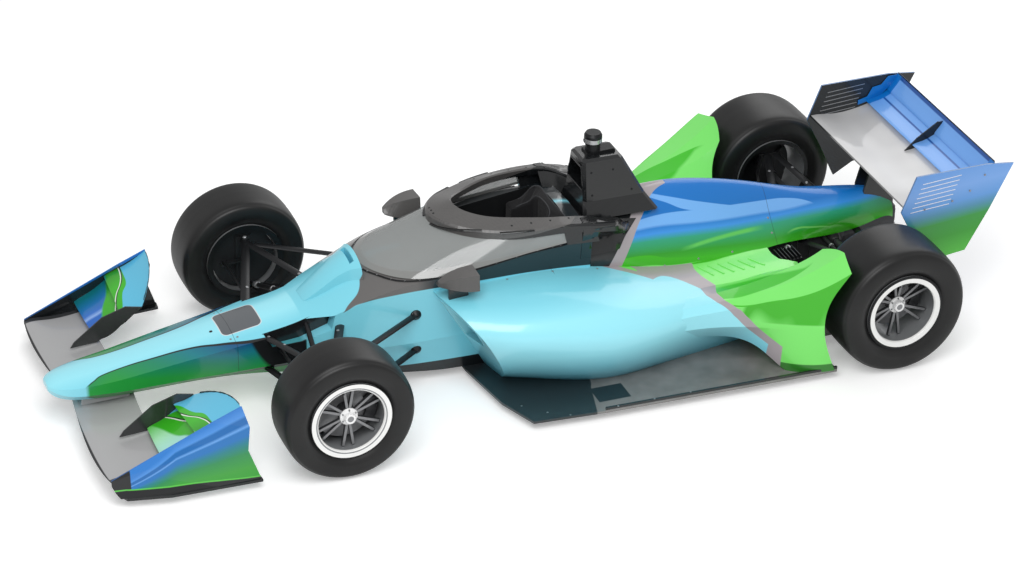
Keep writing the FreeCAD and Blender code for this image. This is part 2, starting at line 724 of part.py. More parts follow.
guard_edge_shares = [(0.8864, 0.019), (0.8698, 0.1333), (0.8578, 0.2476), (0.8551, 0.3524),
                     (0.8618, 0.4476),
                     (0.8797, 0.5429), (0.901, 0.6324), (0.9103, 0.6857)]


def behind_guard():
    """Everything behind the guard's curved rear edge, from the floor up."""
    edge = [place(along, 0, up) for along, up in guard_edge_shares]
    back = Vector(-cut_overrun, 0, 0)
    low, high = edge[0].add(back), edge[-1].add(back)
    outline = Part.Wire([spline(edge), line(edge[-1], high), line(high, low), line(low, edge[0])])
    return Part.Face(outline).extrude(Vector(0, half_width + cut_overrun, 0))


def wheel_guard():
    wires = []
    for along, corners in guard_shares:
        outer = [place(along, across, up) for across, up in corners]
        wires.append(polygon(outer + lined(outer, guard_skin)[::-1]))
    return skinned(wires).cut(under_floor_room()).cut(behind_guard()).cut(pod_envelope())


# Floor and diffuser.
floor_outline_shares = [(0.2864, 0.2834), (0.305, 0.653), (0.3332, 0.8809), (0.4605, 0.9076),
                        (0.8864, 0.9384), (0.8864, 0.5955), (1.0627, 0.5749)]
lip_start_corner = 3
diffuser_end_share = 1.4015
diffuser_rise_share = 0.1676
fence_shares = [1, 0.66, 0.3]


def floor_outline():
    return [place(along, across, floor_base_share) for along, across in floor_outline_shares]


def floor():
    """Flat floor with a lip along its edge, and a ramp with upright fences under it at the tail."""
    left = floor_outline()
    right = [flipped(point) for point in left[::-1]]
    top = Vector(0, 0, floor_thickness)
    deck = slab(left + right, top)
    edge = [point.add(top) for point in left[lip_start_corner:lip_start_corner + 2]]
    inset = Vector(0, -floor_lip_width, 0)
    lip = slab([edge[0], edge[1], edge[1].add(inset), edge[0].add(inset)], Vector(0, 0, floor_lip_height))
    rear = left[-1]
    tail = Vector(station(diffuser_end_share), rear.y, diffuser_rise_share * hoop_height)
    ramp = slab([rear, tail, tail.add(top), rear.add(top)], Vector(0, -2 * rear.y, 0))
    shape = deck.fuse(ramp).fuse(with_mirror(lip))
    for share in fence_shares:
        corners = [rear, Vector(tail.x, tail.y, rear.z), tail.add(top), rear.add(top)]
        outline = [Vector(point.x, point.y * share, point.z) for point in corners]
        fence = slab(outline, Vector(0, -plate_skin, 0))
        shape = shape.fuse(with_mirror(fence))
    return shape.cut(with_mirror(wheel_guard())).removeSplitter()


# Engine and gearbox.
engine_low_shares = (0.6924, -0.2053, 0.0743)
engine_high_shares = (0.505, 0.2053, 0.5333)
gearbox_shares = [
    (0.6924, [(0.0, 0.4381), (0.1232, 0.4286), (0.2053, 0.2857), (0.1951, 0.0781)]),
    (0.7973, [(0.0, 0.4095), (0.1129, 0.4), (0.154, 0.2857), (0.1437, 0.0857)]),
    (0.9302, [(0.0, 0.4571), (0.0986, 0.4476), (0.1335, 0.3143), (0.1129, 0.1238)]),
    (1.1757, [(0.0, 0.4629), (0.0883, 0.4552), (0.1129, 0.3333), (0.0924, 0.2)]),
]
crash_shares = [
    (1.1757, [(0.0, 0.4629), (0.0883, 0.4552), (0.1129, 0.3333), (0.0924, 0.2381)]),
    (1.5132, [(0.0, 0.419), (0.0472, 0.4152), (0.0554, 0.3524), (0.0472, 0.2952)]),
]


def engine():
    low = place(*engine_low_shares)
    return box_between(low, place(*engine_high_shares))


def gearbox_envelope():
    return body_loft(gearbox_shares, True).fuse(body_loft(crash_shares, True))


def gearbox():
    shaft_bore = rod(Vector(rear_axle_x, -half_width, rear_tyre_radius),
                     Vector(rear_axle_x, half_width, rear_tyre_radius),
                     half_shaft_radius + bearing_clearance)
    return gearbox_envelope().cut(shaft_bore)


# Rear wing.
rear_plate_shares = [(1.2873, 0.8562), (1.1945, 0.6667), (1.3137, 0.4952), (1.4291, 0.3143),
                     (1.5684, 0.3771), (1.6976, 0.3895), (1.8507, 0.6048), (2.0, 0.8448),
                     (1.8018, 0.8619)]
rear_main_lead_share = (1.2083, 0.6895)
rear_main_trail_share = (1.6612, 0.7067)
rear_flap_one_shares = ((1.6299, 0.7295), (1.8055, 0.7733))
rear_flap_two_shares = ((1.7905, 0.7733), (1.8657, 0.8571))
rear_main_thickness_share = 0.1
rear_main_camber_share = 0.09
rear_flap_thickness_share = 0.1
rear_flap_one_camber_share = 0.08
rear_flap_two_camber_share = 0.06
flap_bracket_shares = [(1.5772, 0.7), (1.665, 0.7619), (1.8156, 0.8381), (1.8657, 0.8381), (1.8156, 0.7524),
                       (1.665, 0.7095)]


def spanned(lead_shares, trail_shares, half_span, thickness_share, camber_share):
    """A straight wing of one section from side to side."""
    lead = place(lead_shares[0], 0, lead_shares[1])
    trail = place(trail_shares[0], 0, trail_shares[1])
    section = aerofoil(lead, trail, thickness_share, camber_share)
    section.translate(Vector(0, -half_span, 0))
    return Part.Face(section).extrude(Vector(0, 2 * half_span, 0))


def rear_wing_span():
    """Half the rear wing's span, which leaves the endplates clear of the tyres."""
    return half_width - rear_tyre_width - wing_tyre_gap - rear_plate_thickness


def rear_wing_mainplane():
    return spanned(rear_main_lead_share, rear_main_trail_share, rear_wing_span(),
                   rear_main_thickness_share, rear_main_camber_share)


def rear_wing_flaps():
    span = rear_wing_span()
    first = spanned(*rear_flap_one_shares, span, rear_flap_thickness_share, rear_flap_one_camber_share)
    second = spanned(*rear_flap_two_shares, span, rear_flap_thickness_share, rear_flap_two_camber_share)
    outline = [place(along, 0, up).sub(Vector(0, plate_skin / 2, 0)) for along, up in flap_bracket_shares]
    bracket = slab(outline, Vector(0, plate_skin, 0))
    return bracket.fuse(first).fuse(second).cut(rear_wing_mainplane())


def rear_wing_endplate():
    outline = [Vector(station(along), rear_wing_span(),
    up * hoop_height) for along, up in rear_plate_shares]
    return slab(outline, Vector(0, rear_plate_thickness, 0))



pylon_shares = [(1.2698, 0.4476), (1.2572, 0.5333), (1.3011, 0.6667), (1.5144, 0.6667), (1.4768, 0.5905),
                (1.4893, 0.4)]
pylon_beam_shares = [(1.3137, 0.4952), (1.3137, 0.519), (1.4642, 0.519), (1.4642, 0.4952)]


def rear_wing_pylon():
    def upright_plate(outline_shares, start_y, thickness):
        outline = [Vector(station(along), start_y, up * hoop_height) for along, up in outline_shares]
        return slab(outline, Vector(0, thickness, 0))

    fin = upright_plate(pylon_shares, rear_pylon_y, rear_pylon_thickness)
    beam = upright_plate(pylon_beam_shares, -rear_pylon_y, 2 * rear_pylon_y)
    pylons = with_mirror(fin).fuse(beam)
    return pylons.cut(gearbox_envelope()).cut(cover_envelope()).cut(rear_wing_mainplane()).removeSplitter()


# Mirrors: sections of the housing from its nose to its glass, and the stalk's outline.
mirror_shares = [
    (0.2166, [(0.3819, 0.6305), (0.4086, 0.6571), (0.4251, 0.6514), (0.4189, 0.6286)]),
    (0.2326, [(0.3676, 0.6152), (0.3943, 0.6781), (0.4517, 0.6724), (0.4517, 0.621)]),
    (0.2591, [(0.3593, 0.6057), (0.3819, 0.6933), (0.4805, 0.6876), (0.4867, 0.6114)]),
    (0.2811, [(0.3593, 0.6038), (0.3799, 0.6971), (0.4887, 0.6914), (0.4969, 0.6095)]),
]
mirror_stalk_shares = [(0.2346, 0.6286), (0.2698, 0.6286), (0.2724, 0.5143), (0.2379, 0.5143)]
mirror_stalk_side_share = 0.3984


def mirror():
    head = skinned([polygon([place(along, across, up) for across, up in corners])
                    for along, corners in mirror_shares])
    stalk = slab([place(along, mirror_stalk_side_share, up) for along, up in mirror_stalk_shares],
                 Vector(0, mirror_stalk_thickness, 0))
    return head.fuse(stalk).cut(pod_envelope()).cut(tub_envelope())


# Cockpit furniture.
seat_shares = [(0.299, 0.1048), (0.392, 0.1048), (0.4651, 0.2381), (0.4757, 0.5333), (0.4618, 0.5333),
               (0.4452, 0.2857), (0.3854, 0.181), (0.299, 0.2095)]
headrest_side_shares = [(0.4784, 0.5714), (0.4784, 0.7619), (0.4571, 0.7581), (0.4452, 0.7048),
                        (0.4153, 0.6857),
                        (0.4153, 0.5714)]
head_space_shares = (0.4571, 0.4762, 0.3322, 0.8571)


def seat():
    outline = [Vector(station(along), -seat_half_width, up * hoop_height + seat_clearance)
               for along, up in seat_shares]
    return slab(outline, Vector(0, 2 * seat_half_width, 0))


def headrest():
    """A pad behind the head with an arm along each side of it."""
    outline = [Vector(station(along) + seat_clearance, -headrest_half_width, up * hoop_height)
               for along, up in headrest_side_shares]
    block = slab(outline, Vector(0, 2 * headrest_half_width, 0))
    back, low, front, high = head_space_shares
    room = box_between(Vector(station(back), -head_space_half_width, low * hoop_height),
                       Vector(station(front), head_space_half_width, high * hoop_height))
    return block.cut(room)


dash_front_share = 0.2126
dash_rear_share = 0.2392
dash_low_share = 0.4
dash_high_share = 0.6095


def dashboard():
    block = box_between(place(dash_rear_share, -1, dash_low_share),
    place(dash_front_share, 1, dash_high_share))
    return block.common(cockpit_space()).cut(rod(column_foot(), column_head(),
    column_radius + bearing_clearance))


column_foot_shares = (0.1993, 0, 0.5048)
column_head_shares = (0.299, 0, 0.5619)
steering_wheel_shares = [(1, 0.5), (1, -0.5), (0.7, -1), (-0.7, -1), (-1, -0.5), (-1, 0.5), (-0.7, 0.8),
                         (0.7, 0.8)]


def column_foot():
    return place(*column_foot_shares)


def column_head():
    return place(*column_head_shares)


def steering_wheel():
    """A flat-topped wheel on its column, square to the column."""
    foot, head = column_foot(), column_head()
    axis = head.sub(foot).normalize()
    column = rod(foot, head, column_radius)
    upward = ACROSS.cross(axis)
    if upward.z < 0:
        upward = upward.negative()

    def on_face(across_share, up_share):
        across = Vector(ACROSS).multiply(across_share * steering_wheel_half_width)
        return head.add(across).add(Vector(upward).multiply(up_share * steering_wheel_half_height))

    outline = [on_face(*shares) for shares in steering_wheel_shares]
    return slab(outline, Vector(axis).multiply(-2 * wheel_grip_radius)).fuse(column)


# Wheels.
def rim_profile(radius, bore, width):
    """Barrel with a flange at each edge, as corners of (radius, offset), outside last."""
    half = width / 2
    barrel = bore + rim_wall
    return [(bore, -half), (radius, -half), (radius, -half + rim_flange),
    (barrel + rim_wall, -half + 2 * rim_flange),
            (barrel + rim_wall, half - 2 * rim_flange), (radius, half - rim_flange), (radius, half),
            (bore, half)]


# Tyre section from the bead out to the crown: (rise from rim lip to tread, half width).
tyre_wall_shares = [(0.42, 1.0), (0.78, 0.96), (0.95, 0.82), (1.0, 0.55)]


def turned_in_flats(profile, centre):
    """A closed profile of (radius, offset) points turned round the wheel's axis in flat facets."""
    turn = 2 * math.pi / tyre_facets
    stations = []
    for count in range(tyre_facets + 1):
        angle = turn * (count + 0.5)
        outward = Vector(math.cos(angle), 0, math.sin(angle)).multiply(1 / math.cos(turn / 2))
        stations.append([centre.add(Vector(outward).multiply(radius)).add(Vector(0, offset, 0))
                         for radius, offset in profile])
    faces = []
    for here, there in zip(stations, stations[1:]):
        for low, high, far_low, far_high in zip(here, here[1:] + here[:1], there, there[1:] + there[:1]):
            faces.append(Part.Face(polygon([low, high, far_high, far_low])))
    return Part.Solid(Part.Shell(faces))


def tyre(centre, radius, width, rim_radius, bore, rim_width):
    """A slick tyre that sits between the rim's flanges."""
    bead = rim_width / 2 - 2 * rim_flange - tyre_seat_clearance
    seat = bore + 2 * rim_wall + tyre_seat_clearance
    lip = rim_radius + 2 * tyre_seat_clearance
    lip_side = rim_width / 2 - rim_flange - tyre_seat_clearance
    outer = [(seat, bead), (lip, lip_side)]
    for rise_share, side_share in tyre_wall_shares:
        outer.append((lip + rise_share * (radius - lip), side_share * width / 2))
    return turned_in_flats(outer + [(ring_radius, -offset) for ring_radius, offset in outer[::-1]], centre)


def wheel(centre, rim_radius, bore, rim_width, hub_inset):
    """A left wheel: rim, paired spokes, hub with its nut, and the brake disc."""
    rim = turned(rim_profile(rim_radius, bore, rim_width), centre)
    hub_face = rim_width / 2 - hub_inset
    hub = turned([(stub_axle_radius + bearing_clearance, hub_face - 2 * hub_depth),
                  (hub_radius, hub_face - 2 * hub_depth), (hub_radius, hub_face),
                  (stub_axle_radius + bearing_clearance, hub_face)], centre)
    nut_foot = Vector(centre.x, centre.y + hub_face, centre.z)
    cap = Part.makeCylinder(hub_nut_radius, hub_nut_length, nut_foot, ACROSS)
    shape = rim.fuse(hub).fuse(cap)
    reach = bore + rim_wall / 2 - hub_radius / 2
    for pair in range(spoke_pairs):
        for lean in (-1, 1):
            angle = 360 * pair / spoke_pairs + lean * spoke_pair_angle / 2
            spoke = Part.makeBox(spoke_width, spoke_depth, reach,
                                 Vector(centre.x - spoke_width / 2, centre.y + hub_face - spoke_depth,
                                        centre.z + hub_radius / 2))
            spoke.rotate(centre, ACROSS, angle)
            shape = shape.fuse(spoke)
    inner_bore = Part.makeCylinder(stub_axle_radius + bearing_clearance, 2 * hub_depth,
                                   Vector(centre.x, centre.y + hub_face - 2 * hub_depth, centre.z), ACROSS)
    disc = turned([(hub_radius - rim_wall, hub_face - 2 * hub_depth),
                   (brake_disc_radius, hub_face - 2 * hub_depth),
                   (brake_disc_radius, hub_face - 2 * hub_depth + brake_disc_thickness),
                   (hub_radius - rim_wall, hub_face - 2 * hub_depth + brake_disc_thickness)], centre)
    return shape.cut(inner_bore).fuse(disc).removeSplitter()


front_centre = Vector(front_axle_x, front_wheel_y, front_tyre_radius)
rear_centre = Vector(rear_axle_x, rear_wheel_y, rear_tyre_radius)
upper_ball_share = 1.337
lower_ball_share = 0.633


def upper_ball():
    return Vector(front_axle_x, kingpin_y, upper_ball_share * front_tyre_radius)


def lower_ball():
    return Vector(front_axle_x, kingpin_y, lower_ball_share * front_tyre_radius)


def front_upright():
    """Upright plate, stub axle, drum cover, kingpin lugs and steering arm, in the left corner."""
    plate_y = kingpin_y + drum_cover_setback
    low, high = lower_ball(), upper_ball()
    lug_reach = ball_boss_height / 2 + lug_gap
    lug_end = lug_reach + lug_thickness
    half_plate = Vector(upright_width / 2, 0, 0)
    plate = box_between(Vector(low.x, plate_y - upright_thickness / 2, low.z - lug_end).sub(half_plate),
                        Vector(high.x, plate_y + drum_cover_thickness, high.z + lug_end).add(half_plate))
    hub = Vector(front_axle_x, plate_y, front_tyre_radius)
    cover = Part.makeCylinder(drum_cover_radius, drum_cover_thickness, hub, ACROSS)
    stub_end = front_wheel_y + front_rim_width / 2 - front_hub_inset - running_gap
    stub = rod(hub, Vector(hub.x, stub_end, hub.z), stub_axle_radius)
    shape = plate.fuse(cover).fuse(stub)
    for ball in (low, high):
        for level in (ball.z - lug_end, ball.z + lug_reach):
            ear = Part.makeCylinder(ball_boss_radius, lug_thickness, Vector(ball.x, ball.y, level), UP)
            web = box_between(Vector(ball.x - ball_boss_radius, ball.y, level),
                              Vector(ball.x + ball_boss_radius, plate_y, level + lug_thickness))
            shape = shape.fuse(ear).fuse(web)
        reach = Vector(0, 0, lug_reach)
        shape = shape.fuse(rod(ball.sub(reach), ball.add(reach), kingpin_radius))
    eye = tie_rod_eye()
    arm_low = eye.z - steering_arm_thickness / 2
    arm = box_between(Vector(front_axle_x, plate_y - steering_arm_width, arm_low),
                      Vector(eye.x, plate_y - upright_thickness / 2, arm_low + steering_arm_thickness))
    boss = Part.makeCylinder(steering_boss_radius, steering_arm_thickness, Vector(eye.x, eye.y, arm_low),
    UP)
    through = Vector(0, 0, steering_arm_thickness)
    hole = rod(eye.sub(through), eye.add(through), tie_rod_eye_radius)
    return shape.fuse(arm).fuse(boss).cut(hole).removeSplitter()


def tie_rod_eye():
    level = front_tyre_radius + tie_rod_drop - tie_rod_radius - steering_arm_thickness
    return Vector(front_axle_x + steering_arm_reach, kingpin_y, level)


def steering_rack():
    """Rack bar and tie rods in one line, with a pin in each steering arm's eye."""
    centre = rack_centre()
    shape = rod(Vector(centre.x, -kingpin_y, centre.z), Vector(centre.x, kingpin_y, centre.z),
    tie_rod_radius)
    for side in (-1, 1):
        eye = tie_rod_eye()
        top = Vector(centre.x, side * kingpin_y, centre.z)
        end = Vector(centre.x, side * kingpin_y, eye.z - steering_arm_thickness)
        shape = shape.fuse(rod(end, top, tie_rod_pin_radius))
        shape = shape.fuse(Part.makeSphere(tie_rod_ball_radius, top))
    return shape


# Inner ends of the front arms, upper pair first, and of the push rod.
front_arm_shares = [(-0.1498, 0.1232, 0.3733), (0.0764, 0.154, 0.4095), (-0.1498, 0.1129, 0.2114),
                    (0.0864, 0.154, 0.181)]
front_push_shares = (0.0133, 0.154, 0.419)


def front_suspension():
    """Both wishbones and the push rod of the left front corner, ending on the tub."""
    upper, lower = upper_ball(), lower_ball()
    half_boss = Vector(0, 0, ball_boss_height / 2)
    push_foot = Vector(front_axle_x, lower.y - 2 * ball_boss_radius, lower.z + arm_thickness / 2)
    shape = rod(push_foot, place(*front_push_shares), push_rod_radius)
    for ball in (upper, lower):
        shape = shape.fuse(rod(ball.sub(half_boss), ball.add(half_boss), ball_boss_radius))
    for ball, inner in zip((upper, upper, lower, lower), front_arm_shares):
        outer = ball.sub(Vector(0, ball_boss_radius / 2, 0))
        shape = shape.fuse(strut(outer, place(*inner), arm_chord, arm_thickness))
    boss = Vector(0, 0, ball_boss_height)
    for ball in (upper, lower):
        shape = shape.cut(rod(ball.sub(boss), ball.add(boss), kingpin_radius + kingpin_clearance))
    return shape.cut(tub_envelope()).cut(corner_space())


def corner_space():
    """Room round the kingpin lugs, so that the arms run beside them."""
    pieces = []
    for ball in (lower_ball(), upper_ball()):
        near = Vector(0, 0, (ball_boss_height + lug_gap) / 2)
        far = near.add(Vector(0, 0, 2 * lug_thickness))
        pieces.append(rod(ball.add(near), ball.add(far), lug_room_radius))
        pieces.append(rod(ball.sub(far), ball.sub(near), lug_room_radius))
    return pieces[0].multiFuse(pieces[1:])


# Inner ends of the rear arms, upper pair first, and of the push rod.
rear_arm_shares = [(0.9236, 0.0616, 0.3543), (1.2008, 0.0616, 0.3467), (0.897, 0.0616, 0.181),
                   (1.1631, 0.0513, 0.2476)]
rear_push_shares = (0.9734, 0.0616, 0.3771)


def rear_suspension():
    """Left rear upright with its wishbones and push rod, ending on the gearbox."""
    hub = Vector(rear_axle_x, rear_wheel_y - rear_rim_width / 2 + rear_upright_inset, rear_tyre_radius)
    top = hub.add(Vector(0, 0, rear_upright_rise))
    low = hub.sub(Vector(0, 0, rear_upright_drop))
    right = [top.add(Vector(rear_upright_half_width, 0, 0)), hub.add(Vector(rear_upright_waist, 0, 0)),
             low.add(Vector(rear_upright_foot, 0, 0))]
    left = [low.sub(Vector(rear_upright_foot, 0, 0)), hub.sub(Vector(rear_upright_waist, 0, 0)),
            top.sub(Vector(rear_upright_half_width, 0, 0))]
    upright = slab(right + left, Vector(0, rear_upright_thickness, 0))
    sleeve = Part.makeCylinder(stub_axle_radius + rear_sleeve_wall, rear_sleeve_length, hub, ACROSS)
    shape = upright.fuse(sleeve)
    seat = Vector(0, rear_upright_inset, 0)
    for outer, inner in zip((top, top, low, low), rear_arm_shares):
        foot = place(*inner)
        lean = arm_chord / 2 if foot.x > rear_axle_x else -arm_chord / 2
        shape = shape.fuse(strut(outer.add(seat).add(Vector(lean, 0, 0)), foot, arm_chord, arm_thickness))
    push_foot = low.add(seat).add(Vector(0, 0, arm_chord))
    shape = shape.fuse(rod(push_foot, place(*rear_push_shares), push_rod_radius))
    shaft_room = rod(Vector(rear_axle_x, 0, rear_tyre_radius),
    Vector(rear_axle_x, half_width, rear_tyre_radius),
                     stub_axle_radius + 3 * bearing_clearance)
    return shape.cut(shaft_room).cut(gearbox_envelope())


half_shaft_foot_share = 0.0719


def rear_wheel():
    """The rear wheel with its stub axle and the half shaft that drives it."""
    shape = wheel(rear_centre, rear_rim_radius, rear_rim_bore, rear_rim_width, rear_hub_inset)
    hub_face = rear_rim_width / 2 - rear_hub_inset
    stub = rod(rear_centre.sub(Vector(0, rear_rim_width / 2, 0)), rear_centre.add(Vector(0, hub_face, 0)),
               stub_axle_radius + 2 * bearing_clearance)
    shaft_foot = Vector(rear_axle_x, half_shaft_foot_share * half_width, rear_tyre_radius)
    return shape.fuse(stub).fuse(rod(shaft_foot, rear_centre, half_shaft_radius)).removeSplitter()


def front_wheel():
    return wheel(front_centre, front_rim_radius, front_rim_bore, front_rim_width, front_hub_inset)


def save(name, shape):
    solids = shape.Solids
    whole = solids[0] if len(solids) == 1 else Part.makeCompound(solids)
    whole.exportStep("parts/" + name + ".step")


def save_pair(name, shape):
    save(name + "_left", shape)
    save(name + "_right", mirrored(shape))


singles = {
    "nose_cone": nose_envelope, "monocoque": monocoque, "front_wing_mainplane": front_wing_mainplane,

    "screen_frame": screen_frame, "windscreen": windscreen, "roll_hoop": roll_hoop, "camera_pod": camera_pod,
    "engine_cover": engine_cover, "floor": floor, "engine": engine, "gearbox": gearbox,
    "rear_wing_mainplane": rear_wing_mainplane, "rear_wing_flaps": rear_wing_flaps,
    "rear_wing_pylon": rear_wing_pylon, "seat": seat, "headrest": headrest, "dashboard": dashboard,
    "steering_wheel": steering_wheel, "steering_rack": steering_rack,
}
pairs = {
    "front_wing_flaps": front_wing_flaps, "front_wing_endplate": front_wing_endplate, "sidepod": sidepod,
    "wheel_guard": wheel_guard, "mirror": mirror, "rear_wing_endplate": rear_wing_endplate,

    "front_suspension": front_suspension, "rear_suspension": rear_suspension, "front_upright": front_upright,
    "front_wheel": front_wheel, "rear_wheel": rear_wheel,
}
for node, make in singles.items():
    save(node, make())
for node, make in pairs.items():
    save_pair(node, make())
for name, centre, sizes in (
        ("front_tyre", front_centre,
         (front_tyre_radius, front_tyre_width, front_rim_radius, front_rim_bore, front_rim_width)),
        ("rear_tyre", rear_centre,
         (rear_tyre_radius, rear_tyre_width, rear_rim_radius, rear_rim_bore, rear_rim_width))):
    save_pair(name, tyre(centre, *sizes))
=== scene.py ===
import math
from collections import namedtuple

import bmesh
import bpy
from mathutils import Matrix, Vector
from mathutils.bvhtree import BVHTree


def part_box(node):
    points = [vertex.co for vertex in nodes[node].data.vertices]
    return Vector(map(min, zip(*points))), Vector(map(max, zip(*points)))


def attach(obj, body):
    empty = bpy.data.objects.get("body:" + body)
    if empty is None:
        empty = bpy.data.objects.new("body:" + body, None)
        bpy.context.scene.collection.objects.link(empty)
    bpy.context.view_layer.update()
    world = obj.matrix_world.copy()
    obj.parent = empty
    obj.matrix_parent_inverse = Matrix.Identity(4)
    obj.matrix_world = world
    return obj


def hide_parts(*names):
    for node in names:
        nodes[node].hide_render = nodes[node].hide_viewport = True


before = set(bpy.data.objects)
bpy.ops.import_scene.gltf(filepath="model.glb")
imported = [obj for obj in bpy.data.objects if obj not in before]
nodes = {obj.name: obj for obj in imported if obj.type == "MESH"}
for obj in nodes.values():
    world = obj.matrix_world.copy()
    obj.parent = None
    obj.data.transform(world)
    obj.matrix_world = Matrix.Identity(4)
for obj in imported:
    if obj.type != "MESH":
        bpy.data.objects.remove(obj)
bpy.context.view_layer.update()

# Sizes in metres, and places measured back from the front axle, out from the middle and up.
MM = 0.001
EDGE_BLUR = 1.5 * MM    # how soft the edge between two colours is
front_low, front_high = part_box("front_tyre_left")
rear_low, rear_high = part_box("rear_tyre_left")
front_axle_x = (front_low.x + front_high.x) / 2
rear_axle_x = (rear_low.x + rear_high.x) / 2
front_axle_z = (front_low.z + front_high.z) / 2
rear_axle_z = (rear_low.z + rear_high.z) / 2
wheelbase = front_axle_x - rear_axle_x
HANDS = (("left", 1), ("right", -1))


def at(back, side, up):
    """A place by its distance back from the front axle, out to the left and up."""
    return Vector((front_axle_x - back, side, up))


# Colours.
CYAN = "7FD6E8"
# The lighter cyan is a painted highlight, on the nose's middle and the pods' sides.
CYAN_HIGHLIGHT = "9BE8F6"
SHOULDER_BLUE = "0B4C82"
SHOULDER_TEAL = "127A86"
SHOULDER_GREEN = "178662"
FOOT_GREEN = "1F963A"
STRIPE_GREY = "A79FA3"
GREEN_LIGHT = "7CE96B"
GREEN_DEEP = "3AB812"
COVER_BLUE = "0572C6"
COVER_STREAK = "74B2F4"
COVER_TEAL = "2AA07C"
COVER_GREEN = "2A9E1E"
BLACK = "17191B"
SLATE = "20272B"
APRON_GREY = "646261"
WING_GREY = "A9A9AA"
PANEL_GREY = "5C6064"
WHITE = "F4F4F2"
CARBON_DARK = "101214"
CARBON_LIGHT = "24282B"


def linear(code):
    """An sRGB hex colour as linear light."""
    parts = [int(code[i:i + 2], 16) / 255 for i in (0, 2, 4)]
    light = [p / 12.92 if p <= 0.04045 else ((p + 0.055) / 1.055) ** 2.4 for p in parts]
    return (*light, 1.0)


# Materials.
def add(tree, kind, inputs=None, **settings):
    """One node with its settings; an input is a number, a colour, a node or a socket."""
    node = tree.nodes.new("ShaderNode" + kind)
    for key, value in settings.items():
        setattr(node, key, value)
    for key, value in (inputs or {}).items():
        if isinstance(value, bpy.types.Node):
            value = value.outputs[0]
        if isinstance(value, bpy.types.NodeSocket):
            tree.links.new(value, node.inputs[key])
        else:
            node.inputs[key].default_value = value
    return node


def new_material(name):
    material = bpy.data.materials.new(name)
    material.use_nodes = True
    material.node_tree.nodes.clear()
    return material, material.node_tree


def finished(material, tree, colour, settings, height=None, depth=0.3 * MM):
    """Joins a colour, fixed shader settings and an optional bump to the output."""
    inputs = {"Base Color": colour}
    inputs.update(settings)
    if height is not None:
        inputs["Normal"] = add(tree, "Bump", {"Strength": 1.0, "Distance": depth, "Height": height})
    shader = add(tree, "BsdfPrincipled", inputs)
    add(tree, "OutputMaterial", {"Surface": shader})
    return material


def rest_point(tree):
    """The place of a surface point with the car at rest."""
    return add(tree, "TexCoord").outputs["Object"]


def position(tree):
    """A surface point's distance back from the front axle, out and up, and the point itself."""
    point = rest_point(tree)
    parts = add(tree, "SeparateXYZ", {0: point})
    back = beyond(tree, front_axle_x, parts.outputs[0])
    out = add(tree, "Math", {0: parts.outputs[1]}, operation="ABSOLUTE")
    return back, out, parts.outputs[2], point


def profile(tree, along, points):
    """A boundary line: the value that belongs to each place along, through the points given."""
    alongs = [p[0] for p in points]
    values = [p[1] for p in points]
    low, high = min(values), max(values)
    share = add(tree, "MapRange", {0: along, 1: alongs[0], 2: alongs[-1]})
    curve = add(tree, "FloatCurve", {1: share})
    track = curve.mapping.curves[0]
    spots = [((a - alongs[0]) / (alongs[-1] - alongs[0]), (v - low) / (high - low)) for a, v in points]
    track.points[0].location = spots[0]
    track.points[1].location = spots[-1]
    for spot in spots[1:-1]:
        track.points.new(*spot)
    curve.mapping.update()
    return add(tree, "MapRange", {0: curve, 3: low, 4: high}, clamp=False)


def beyond(tree, value, limit):
    """How far a value lies past a limit."""
    return add(tree, "Math", {0: value, 1: limit}, operation="SUBTRACT")


def over(tree, value, limit, blur=EDGE_BLUR):
    """1 where the value is over the limit and 0 under it, with an edge as soft as blur."""
    return add(tree, "MapRange", {0: beyond(tree, value, limit), 1: -blur, 2: blur})


def above(tree, value, along, line, blur=EDGE_BLUR):
    """1 where the value is over a drawn line."""
    return over(tree, value, profile(tree, along, line), blur)


def below(tree, value, along, line, blur=EDGE_BLUR):
    """1 where the value is under a drawn line."""
    return over(tree, profile(tree, along, line), value, blur)


def both(tree, *masks):
    """1 where every mask is 1."""
    common = masks[0]
    for mask in masks[1:]:
        common = add(tree, "Math", {0: common, 1: mask}, operation="MULTIPLY")
    return common


def either(tree, *masks):
    """1 where any mask is 1; of other values, the highest."""
    highest = masks[0]
    for mask in masks[1:]:
        highest = add(tree, "Math", {0: highest, 1: mask}, operation="MAXIMUM")
    return highest


def opposite(tree, mask):
    """1 where the mask is 0."""
    return beyond(tree, 1.0, mask)


def between(tree, value, low, high, blur=EDGE_BLUR):
    return both(tree, over(tree, value, low, blur), over(tree, high, value, blur))


def near_line(tree, value, line, width):
    """1 within half a width of a line."""
    return between(tree, beyond(tree, value, line), -width / 2, width / 2, width / 4)


def layered(tree, base, layers):
    """Coats of paint over a base colour, each with the mask where it lies."""
    colour = base
    for mask, coat in layers:
        if isinstance(coat, str):
            coat = linear(coat)
        colour = add(tree, "Mix", {0: mask, 6: colour, 7: coat}, data_type="RGBA").outputs[2]
    return colour


def faded(tree, share, stops):
    """A colour that changes with a share from 0 to 1, through (share, hex colour) stops."""
    ramp = add(tree, "ValToRGB", {0: share})
    marks = ramp.color_ramp.elements
    while len(marks) < len(stops):
        marks.new(0.5)
    for mark, (spot, code) in zip(marks, stops):
        mark.position = spot
        mark.color = linear(code)
    return ramp.outputs[0]


def part_of(tree, value, low, high):
    """How far a value has come from low to high, from 0 to 1."""
    return add(tree, "MapRange", {0: value, 1: low, 2: high})


